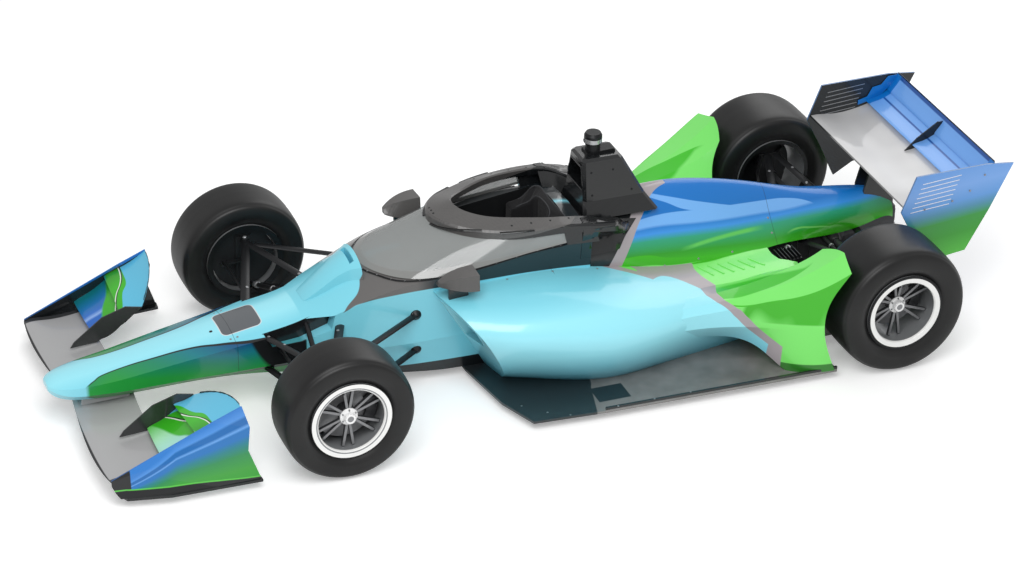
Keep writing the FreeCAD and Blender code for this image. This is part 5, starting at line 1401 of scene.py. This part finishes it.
def hoop_details():
    """A rolled lip round the intake, a dark screen in it, side bolts, and the camera's glass band."""
    hoop = surface("roll_hoop")
    corners = MOUTH + [(-out, up) for out, up in MOUTH[::-1]]
    line = []
    for (out, up), (next_out, next_up) in zip(corners, corners[1:] + corners[:1]):
        for step in range(MOUTH_STEPS):
            share = step / MOUTH_STEPS
            spot = at(1.30, out + (next_out - out) * share, up + (next_up - up) * share)
            hit = seat_on(hoop, spot, (-1, 0, 0))
            spot.x = hit[0].x if hit and hit[0].x > at(1.62, 0, 0).x else at(1.556, 0, 0).x
            line.append(spot)
    piece("intake_lip", swept(line + line[:2], 0.0045, 10, 1.0, (1, 0, 0)), SHELL_CARBON, "black_carbon")
    wires = [rod(at(1.700, -0.09, up), at(1.700, 0.09, up), 0.001, 6) for up in WIRE_UPS]
    wires += [rod(at(1.700, out, 0.882), at(1.700, out, 1.0), 0.001, 6) for out in WIRE_OUTS]
    piece("intake_screen", joined(wires), STEEL, "dark_steel")
    for hand, side in HANDS:
        starts = [at(back, side * 0.5, up) for back, up in HOOP_BOLTS]
        studs(f"hoop_bolts_{hand}", seats(hoop, starts, (0, -side, 0)), *FASTENER, BLACK_METAL)
    head = at(1.6445, 0, 1.1085)
    band = turned([(0, 0.0470), (0.0005, 0.0476), (0.022, 0.0476), (0.0225, 0.0470)], head, (0, 0, 1), 48)
    piece("camera_band", band, PALE_BAND, "dark_steel")
    lens = turned([(0, 0.011), (0.003, 0.011), (0.004, 0.009), (0.0025, 0.007)],
                  head + Vector((0.0465, 0, 0.011)), (1, 0, 0), 24)
    piece("camera_lens", lens, SMOKED_GLASS, "clear_screen")


# The gearbox end.
CASE_RIBS = (2.16, 2.26, 2.36, 2.46, 2.80, 2.88)
COVER_BOLTS = 8
LAMP_ROWS = 5
HOOK_LINE = [(3.395, 0.330), (3.425, 0.318), (3.447, 0.296), (3.440, 0.270), (3.415, 0.262)]


def case_details():
    """Ribs, and side covers with their bolts, on the gearbox."""
    case = surface("gearbox")
    for hand, side in HANDS:
        inwards = (0, -side, 0)
        ribs = []
        for back in CASE_RIBS:
            starts = [at(back, side * 0.9, 0.15 + 0.028 * step) for step in range(9)]
            line = [place for place, _ in seats(case, starts, inwards)]
            ribs.append(swept(line, 0.005, 6, 1.0, (1, 0, 0)))
        piece(f"gearbox_ribs_{hand}", joined(ribs), CAST, "dark_steel")
        wall, _ = seat_on(case, (rear_axle_x, side * 0.9, rear_axle_z + 0.05), inwards)
        middle = Vector((rear_axle_x, wall.y, rear_axle_z))
        cover = turned([(-0.004, 0.075), (0.006, 0.075), (0.010, 0.068), (0.012, 0.050)],
                       middle, (0, side, 0), 40)
        bolts = []
        for count in range(COVER_BOLTS):
            foot = middle + spoke(2 * math.pi * (count + 0.5) / COVER_BOLTS) * 0.064
            bolts.append(hexagon_nut(foot + Vector((0, side * 0.008, 0)), (0, side, 0), 0.005, 0.004))
        piece(f"final_drive_cover_{hand}", joined([cover] + bolts), CAST, "dark_steel")


def tail_details():
    """The rain light and the lifting hook behind the gearbox, and the floor's skids."""
    back_face = at(3.4190, 0, 0.375)
    housing = bar(back_face + Vector((-0.004, 0, 0)), (0.008, 0.080, 0.075))
    piece("rain_light_frame", housing, BLACK_METAL, "black_carbon", 0.002)
    lenses = []
    for row in range(LAMP_ROWS):
        for column in range(LAMP_ROWS):
            foot = back_face + Vector((-0.008, 0.014 * (column - 2), 0.013 * (row - 2)))
            lenses.append(turned([(0, 0.0055), (0.0015, 0.0055), (0.003, 0.0035)], foot, (-1, 0, 0), 12))
    piece("rain_light_lens", joined(lenses), RED_LENS, "clear_screen")
    hook = curve_through([at(back, 0, up) for back, up in HOOK_LINE], 5)
    piece("lifting_hook", swept(hook, 0.007, 12, 1.0, (0, 1, 0)), STEEL, "dark_steel")
    skids = [bar(at(back, side * 0.16, 0.0452), (0.20, 0.05, 0.0035)) for back in (1.1, 1.7, 2.3)
             for _, side in HANDS]
    piece("floor_skids", joined(skids), STEEL, "dark_steel", 0.0008)


# Padded pieces: a form a little under size is inflated as cloth and then bound along its edges.
PAD_VOXEL = 6 * MM
PAD_INSET = 3 * MM
PAD_RISE = 7 * MM       # the most that any point of a pad may move
PAD_FRAMES = 20
PAD_HOLD = 0.15         # how firmly the cover is held everywhere, from 0 to 1


def applied(made):
    """The object's mesh as its modifiers shape it, with none left on it."""
    seen = made.evaluated_get(bpy.context.evaluated_depsgraph_get())
    shaped = bpy.data.meshes.new_from_object(seen)
    made.modifiers.clear()
    made.data = shaped
    return shaped


def inflated_pad(name, shape):
    """A pad blown up a little under its cover."""
    made = placed(name, facing_out(name, shape))
    remesh = made.modifiers.new("even", "REMESH")
    remesh.mode = "VOXEL"
    remesh.voxel_size = PAD_VOXEL
    applied(made)
    flat = [vertex.co.copy() for vertex in made.data.vertices]
    held = made.vertex_groups.new(name="held")
    held.add(list(range(len(flat))), PAD_HOLD, "REPLACE")
    cloth_cover = made.modifiers.new("cover", "CLOTH")
    settings = cloth_cover.settings
    settings.quality = 6
    settings.mass = 0.3
    settings.tension_stiffness = 12
    settings.compression_stiffness = 12
    settings.bending_stiffness = 0.4
    settings.use_pressure = True
    settings.uniform_pressure_force = 4.0
    settings.effector_weights.gravity = 0.0
    settings.vertex_group_mass = "held"
    for step in range(1, PAD_FRAMES + 1):
        bpy.context.scene.frame_set(step)
    applied(made)
    bpy.context.scene.frame_set(1)
    for vertex, start in zip(made.data.vertices, flat):
        shift = vertex.co - start
        if shift.length > PAD_RISE:
            vertex.co = start + shift.normalized() * PAD_RISE
    made.vertex_groups.clear()
    made.data.materials.clear()
    made.data.materials.append(PAD_CLOTH)
    return made


def pressed_lines(made, lines, width, depth, inside):
    """Sewn channels: the cover beside each line of points is drawn in the direction of inside."""
    for vertex in made.data.vertices:
        nearest = min((vertex.co - spot).length for line in lines for spot in line)
        if nearest < width:
            vertex.co += inside * depth * (math.cos(math.pi * nearest / width) + 1) / 2


def softened(made):
    """One subdivision for a smooth cover, applied."""
    smooth = made.modifiers.new("smooth", "SUBSURF")
    smooth.levels = 1
    smooth.render_levels = 1
    applied(made)
    for face in made.data.polygons:
        face.use_smooth = True


SEAT_PROFILE = [(0.900, 0.110), (1.180, 0.110), (1.400, 0.250), (1.432, 0.560), (1.390, 0.560),
                (1.340, 0.300), (1.160, 0.190), (0.900, 0.220)]
SEAT_HALF = 0.165
SEAT_ROWS = 12
CHANNELS = ((0.99, 0.214), (1.08, 0.203), (1.19, 0.206), (1.28, 0.262), (1.344, 0.330), (1.360, 0.405),
            (1.374, 0.480))
CHANNEL_WIDTH = 14 * MM
CHANNEL_DEPTH = 5 * MM
REST_LOW, REST_BACK, REST_FRONT = 0.600, 1.440, 1.250
REST_HALF = 0.200
HEAD_ROOM = 0.110
REST_TOP = [(1.250, 0.720), (1.340, 0.740), (1.376, 0.796), (1.440, 0.800)]      # back and up


def drawn_in(outline, inset):
    """An outline of (x, y) drawn in by an inset along its corners' bisectors."""
    area = sum(a[0] * b[1] - b[0] * a[1] for a, b in zip(outline, outline[1:] + outline[:1]))
    turn = 1 if area > 0 else -1
    result = []
    for before, here, after in zip(outline[-1:] + outline[:-1], outline, outline[1:] + outline[:1]):
        first = Vector((here[0] - before[0], here[1] - before[1])).normalized()
        second = Vector((after[0] - here[0], after[1] - here[1])).normalized()
        normals = [Vector((-way.y, way.x)) * turn for way in (first, second)]
        bisector = (normals[0] + normals[1]) / (1 + normals[0].dot(normals[1]))
        result.append((here[0] + bisector.x * inset, here[1] + bisector.y * inset))
    return result


def padded_seat():
    """The seat's pad with its crosswise channels and its binding across the top."""
    outline = drawn_in(SEAT_PROFILE, PAD_INSET)
    rows = []
    for step in range(SEAT_ROWS + 1):
        out = (SEAT_HALF - PAD_INSET) * (2 * step / SEAT_ROWS - 1)
        rows.append([at(back, out, up) for back, up in outline])
    made = inflated_pad("seat_pad", skin(rows))
    lines = [[at(back, 0.008 * step, up) for step in range(-21, 22)] for back, up in CHANNELS]
    pressed_lines(made, lines, CHANNEL_WIDTH, CHANNEL_DEPTH, Vector((-1, 0, -1)).normalized())
    softened(made)
    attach(made, "chassis")
    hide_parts("seat")
    edge = curve_through([at(1.411, out, 0.5625) for out in (-0.155, -0.08, 0.0, 0.08, 0.155)], 6)
    piece("seat_binding", swept(edge, 0.004, 10), PIPING, "pad_cloth")


def rest_height(back):
    """The height of the headrest's top at a distance back."""
    for (low, up), (high, following) in zip(REST_TOP, REST_TOP[1:]):
        if back <= high:
            return up + (following - up) * max(0.0, (back - low) / (high - low))
    return REST_TOP[-1][1]


def both_sides(plan):
    """A plan of (back, out) from the left to the middle, and on to the right."""
    return [at(back, out, 0) for back, out in plan] + [at(back, -out, 0) for back, out in plan[-2::-1]]


def padded_headrest():
    """A horseshoe of padding round the head, with piping along its top edges."""
    arms, rear, front = REST_HALF - PAD_INSET, REST_BACK - PAD_INSET, REST_FRONT + PAD_INSET
    room = HEAD_ROOM + PAD_INSET
    inner = both_sides([(front, room), (1.300, room), (1.340, room - 0.004), (1.366, room - 0.020),
                        (1.379, room - 0.055), (1.379, 0.0)])
    outer = both_sides([(front, arms), (1.340, arms), (1.400, arms), (rear - 0.012, arms - 0.008),
                        (rear, arms - 0.030), (rear, 0.0)])
    rows = []
    for near, far in zip(inner, outer):
        low = REST_LOW + PAD_INSET
        near_up, far_up = (rest_height(front_axle_x - place.x) - PAD_INSET for place in (near, far))
        rows.append([Vector((near.x, near.y, low)), Vector((far.x, far.y, low)),
                     Vector((far.x, far.y, far_up)), Vector((near.x, near.y, near_up))])
    made = inflated_pad("headrest_pad", skin(rows))
    softened(made)
    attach(made, "chassis")
    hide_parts("headrest")
    cover = BVHTree.FromPolygons(*mesh_shape(made.data))
    for name, offset, track in (("inner", 0.012, inner), ("outer", -0.012, outer)):
        starts = [place + (far - near).normalized() * offset + Vector((0, 0, OVERHEAD))
                  for place, near, far in zip(track, inner, outer)]
        line = curve_through([place + Vector((0, 0, 0.0005)) for place, _ in seats(cover, starts, DOWN)], 5)
        piece(f"headrest_piping_{name}", swept(line, 0.003, 8), PIPING, "pad_cloth")


def strap(line, half_width, thickness, across):
    """A flat webbing along a line, its width laid along the given direction."""
    rows = []
    for i, place in enumerate(line):
        ahead = (line[min(i + 1, len(line) - 1)] - line[max(i - 1, 0)]).normalized()
        side = Vector(across)
        side = (side - ahead * side.dot(ahead)).normalized()
        rise = side.cross(ahead)
        lip = 0.8 * half_width
        row = [(-half_width, 0.0), (-lip, 0.5), (lip, 0.5), (half_width, 0.0), (lip, -0.5), (-lip, -0.5)]
        rows.append([place + side * a + rise * thickness * b for a, b in row])
    return skin(rows)


# The belts' lines on the left side: back, out and up, each to or from the buckle.
BUCKLE = (1.165, 0.0, 0.232)
BELTS = {
    "shoulder": ([(1.392, 0.072, 0.585), (1.366, 0.070, 0.568), (1.350, 0.066, 0.500),
                  (1.336, 0.058, 0.400), (1.300, 0.048, 0.310), (1.235, 0.032, 0.252), BUCKLE],
                 0.022, (0, 1, 0)),
    "lap": ([(1.250, 0.158, 0.262), (1.228, 0.120, 0.258), (1.195, 0.060, 0.240), BUCKLE],
            0.020, (1, 0, 0.4)),
    "crotch": ([BUCKLE, (1.110, 0.020, 0.216), (1.040, 0.034, 0.2205), (0.980, 0.040, 0.2265)],
               0.016, (0, 1, 0))}


def belts():
    """Six straps that meet at a round buckle resting on the seat."""
    for hand, side in HANDS:
        for name, (places, half_width, across) in BELTS.items():
            line = curve_through([at(back, side * out, up) for back, out, up in places], 6)
            piece(f"{name}_belt_{hand}", strap(line, half_width, 0.003, across), BELT, "pad_cloth")
        tongue = bar(at(1.262, side * 0.040, 0.2745), (0.030, 0.050, 0.004), Matrix.Rotation(0.62, 3, "Y"))
        piece(f"belt_adjuster_{hand}", tongue, STEEL, "dark_steel", 0.001)
    knob = turned([(-0.012, 0.030), (0.004, 0.030), (0.010, 0.026), (0.011, 0.016), (0.016, 0.014),
                   (0.018, 0.011)], at(*BUCKLE), (0.15, 0, 1), 32)
    piece("belt_buckle", knob, BLACK_METAL, "dark_steel", 0.0006)


# The steering wheel, whose face stands square to its column.
COLUMN_FOOT = at(0.600, 0, 0.530)
COLUMN_HEAD = at(0.900, 0, 0.590)


def on_wheel(across, rise, proud):
    """A place on the steering wheel's face: across the car, up the face and proud of it."""
    way = (COLUMN_HEAD - COLUMN_FOOT).normalized()
    up = Vector((0, 1, 0)).cross(way)
    up = up if up.z > 0 else -up
    return COLUMN_HEAD + Vector((0, across, 0)) + up * rise + way * proud


# On the steering wheel's face, across and up: a grip, a paddle, the display and the buttons.
GRIP = ((0.098, 0.064), (0.120, 0.048), (0.126, 0.0), (0.120, -0.040), (0.096, -0.074))
PADDLE = ((0.050, 0.020), (0.112, 0.030), (0.118, 0.005), (0.108, -0.020), (0.050, -0.012))
DISPLAY = ((-0.047, 0.012), (0.047, 0.012), (0.047, 0.055), (-0.047, 0.055))
BUTTON_PLACES = ((0.070, 0.045), (-0.070, 0.045), (0.072, 0.015), (-0.072, 0.015), (0.052, -0.018),
                 (-0.052, -0.018))


def steering_wheel_details():
    """Grips, a dark display, buttons, rotary knobs and shift paddles."""
    way = (COLUMN_HEAD - COLUMN_FOOT).normalized()
    face, _ = seat_on(surface("steering_wheel"), on_wheel(0.0, 0.0, 0.3), -way)
    proud = (face - COLUMN_HEAD).dot(way)
    parts = []
    for hand, side in HANDS:
        grip = curve_through([on_wheel(side * out, rise, proud - 0.012) for out, rise in GRIP], 6)
        parts.append((f"wheel_grip_{hand}", swept(grip, 0.0155, 14, 0.85), RUBBER_BOOT, "black_carbon",
                      0.0))
        paddle = [on_wheel(side * out, rise, proud - 0.036) for out, rise in PADDLE]
        parts.append((f"shift_paddle_{hand}", plate(paddle, way * 0.003), CARBON, "black_carbon", 0.0008))
    display = [on_wheel(out, rise, proud - 0.001) for out, rise in DISPLAY]
    parts.append(("wheel_display", plate(display, way * 0.004), SMOKED_GLASS, "clear_screen", 0.0012))
    for count, (across, rise) in enumerate(BUTTON_PLACES):
        button = turned([(0, 0.0075), (0.003, 0.0075), (0.004, 0.0058), (0.007, 0.0055), (0.008, 0.004)],
                        on_wheel(across, rise, proud - 0.001), way, 18)
        parts.append((f"wheel_button_{count}", button, BUTTONS[count % len(BUTTONS)], "black_carbon", 0.0))
    knobs = [turned([(0, 0.012), (0.004, 0.012), (0.005, 0.009), (0.012, 0.008), (0.013, 0.006)],
                    on_wheel(across, -0.050, proud - 0.001), way, 9) for across in (-0.045, 0.0, 0.045)]
    parts.append(("wheel_knobs", joined(knobs), BLACK_METAL, "black_carbon", 0.0))
    for part in parts:
        piece(*part, body="steering_wheel")


def dashboard_details():
    """Switches on the dash bulkhead's rear face."""
    starts = [at(1.2, out, 0.60) for out in (-0.17, -0.13, 0.13, 0.17)]
    switches = [turned([(-0.002, 0.008), (0.006, 0.008), (0.007, 0.004), (0.016, 0.003),
                        (0.018, 0.001)], place, (-1, 0, 0.2), 14)
                for place, _ in seats(surface("dashboard"), starts, (1, 0, 0))]
    piece("dash_switches", joined(switches), STEEL, "black_carbon")


# The floor, the light and the camera.
EYE = Vector((6.02542, 14.19829, 9.30012))
VIEW_YAW, VIEW_PITCH, VIEW_ROLL = -1.9693, -0.5278, 0.0313
LENS_MM = 120.94
SENSOR_MM = 36.0
FLOOR_REACH = 40.0
LIT_PLACE = (-0.2, 0.0, 0.3)
LAMPS = [("key", (2.5, 5.0, 7.0), 5.0, 420.0), ("fill", (-5.0, -4.0, 5.0), 6.0, 160.0)]


def camera():
    forward = Vector((math.cos(VIEW_PITCH) * math.cos(VIEW_YAW), math.cos(VIEW_PITCH) * math.sin(VIEW_YAW),
                      math.sin(VIEW_PITCH)))
    right = forward.cross(Vector((0, 0, 1))).normalized()
    up = right.cross(forward)
    rolled_right = math.cos(VIEW_ROLL) * right + math.sin(VIEW_ROLL) * up
    rolled_up = -math.sin(VIEW_ROLL) * right + math.cos(VIEW_ROLL) * up
    data = bpy.data.cameras.new("camera")
    data.lens = LENS_MM
    data.sensor_width = SENSOR_MM
    data.clip_end = 100.0
    seen = placed("camera", data)
    turn = Matrix((rolled_right, rolled_up, -forward)).transposed().to_4x4()
    seen.matrix_world = Matrix.Translation(EYE) @ turn
    bpy.context.scene.camera = seen


def pale_floor():
    """A wide matt floor that keeps the car's shadow and reads as pale as the surround."""
    material, tree = new_material("pale_studio_floor")
    path = add(tree, "LightPath")
    point = rest_point(tree)
    grain = add(tree, "TexNoise", {"Vector": point, "Scale": 40.0})
    pale = faded(tree, grain, [(0.3, "F2F2F2"), (0.7, "F4F4F4")])
    matt = add(tree, "BsdfDiffuse", {"Color": pale})
    glow = add(tree, "Emission", {"Color": linear("FFFFFF"), "Strength": 0.3})
    lifted = add(tree, "AddShader", {0: matt, 1: glow})
    seen = add(tree, "MixShader", {0: path.outputs["Is Camera Ray"], 1: matt, 2: lifted})
    add(tree, "OutputMaterial", {"Surface": seen})
    mesh = bpy.data.meshes.new("studio_floor")
    corners = [(x * FLOOR_REACH, y * FLOOR_REACH, 0) for x, y in ((-1, -1), (1, -1), (1, 1), (-1, 1))]
    mesh.from_pydata(corners, [], [(0, 1, 2, 3)])
    mesh.materials.append(material)
    ground = placed("studio_floor", mesh)


def surround():
    world = bpy.data.worlds.new("pale_surround")
    bpy.context.scene.world = world
    world.use_nodes = True
    tree = world.node_tree
    tree.nodes.clear()
    path = add(tree, "LightPath")
    lit = add(tree, "Background", {"Color": linear("FFFFFF"), "Strength": 0.55})
    white = add(tree, "Background", {"Color": linear("FFFFFF"), "Strength": 1.0})
    sight = either(tree, path.outputs["Is Camera Ray"], path.outputs["Is Transmission Ray"])
    shown = add(tree, "MixShader", {0: sight, 1: lit, 2: white})
    add(tree, "OutputWorld", {"Surface": shown})


def lamps():
    for name, spot, size, power in LAMPS:
        lamp = bpy.data.lights.new(name, "AREA")
        lamp.size = size
        lamp.energy = power
        held = placed(name, lamp)
        held.location = spot
        held.rotation_euler = (Vector(spot) - Vector(LIT_PLACE)).to_track_quat("Z", "Y").to_euler()


tyres()
wheel_dressing()
calipers()
suspension_hardware()
long_legs()
shaft_boots()
flap_gurneys()
plate_louvres()
rear_wing_trim()
fasteners()
pod_gills()
radiators()
exhaust_boxes()
mirror_glasses()
screen_strip()
frame_slots()
frame_bolts()
shoulder_fairings()
hoop_details()
case_details()
tail_details()
padded_seat()
padded_headrest()
belts()
steering_wheel_details()
dashboard_details()
camera()
pale_floor()
surround()
lamps()
bpy.context.scene.view_settings.view_transform = "Standard"
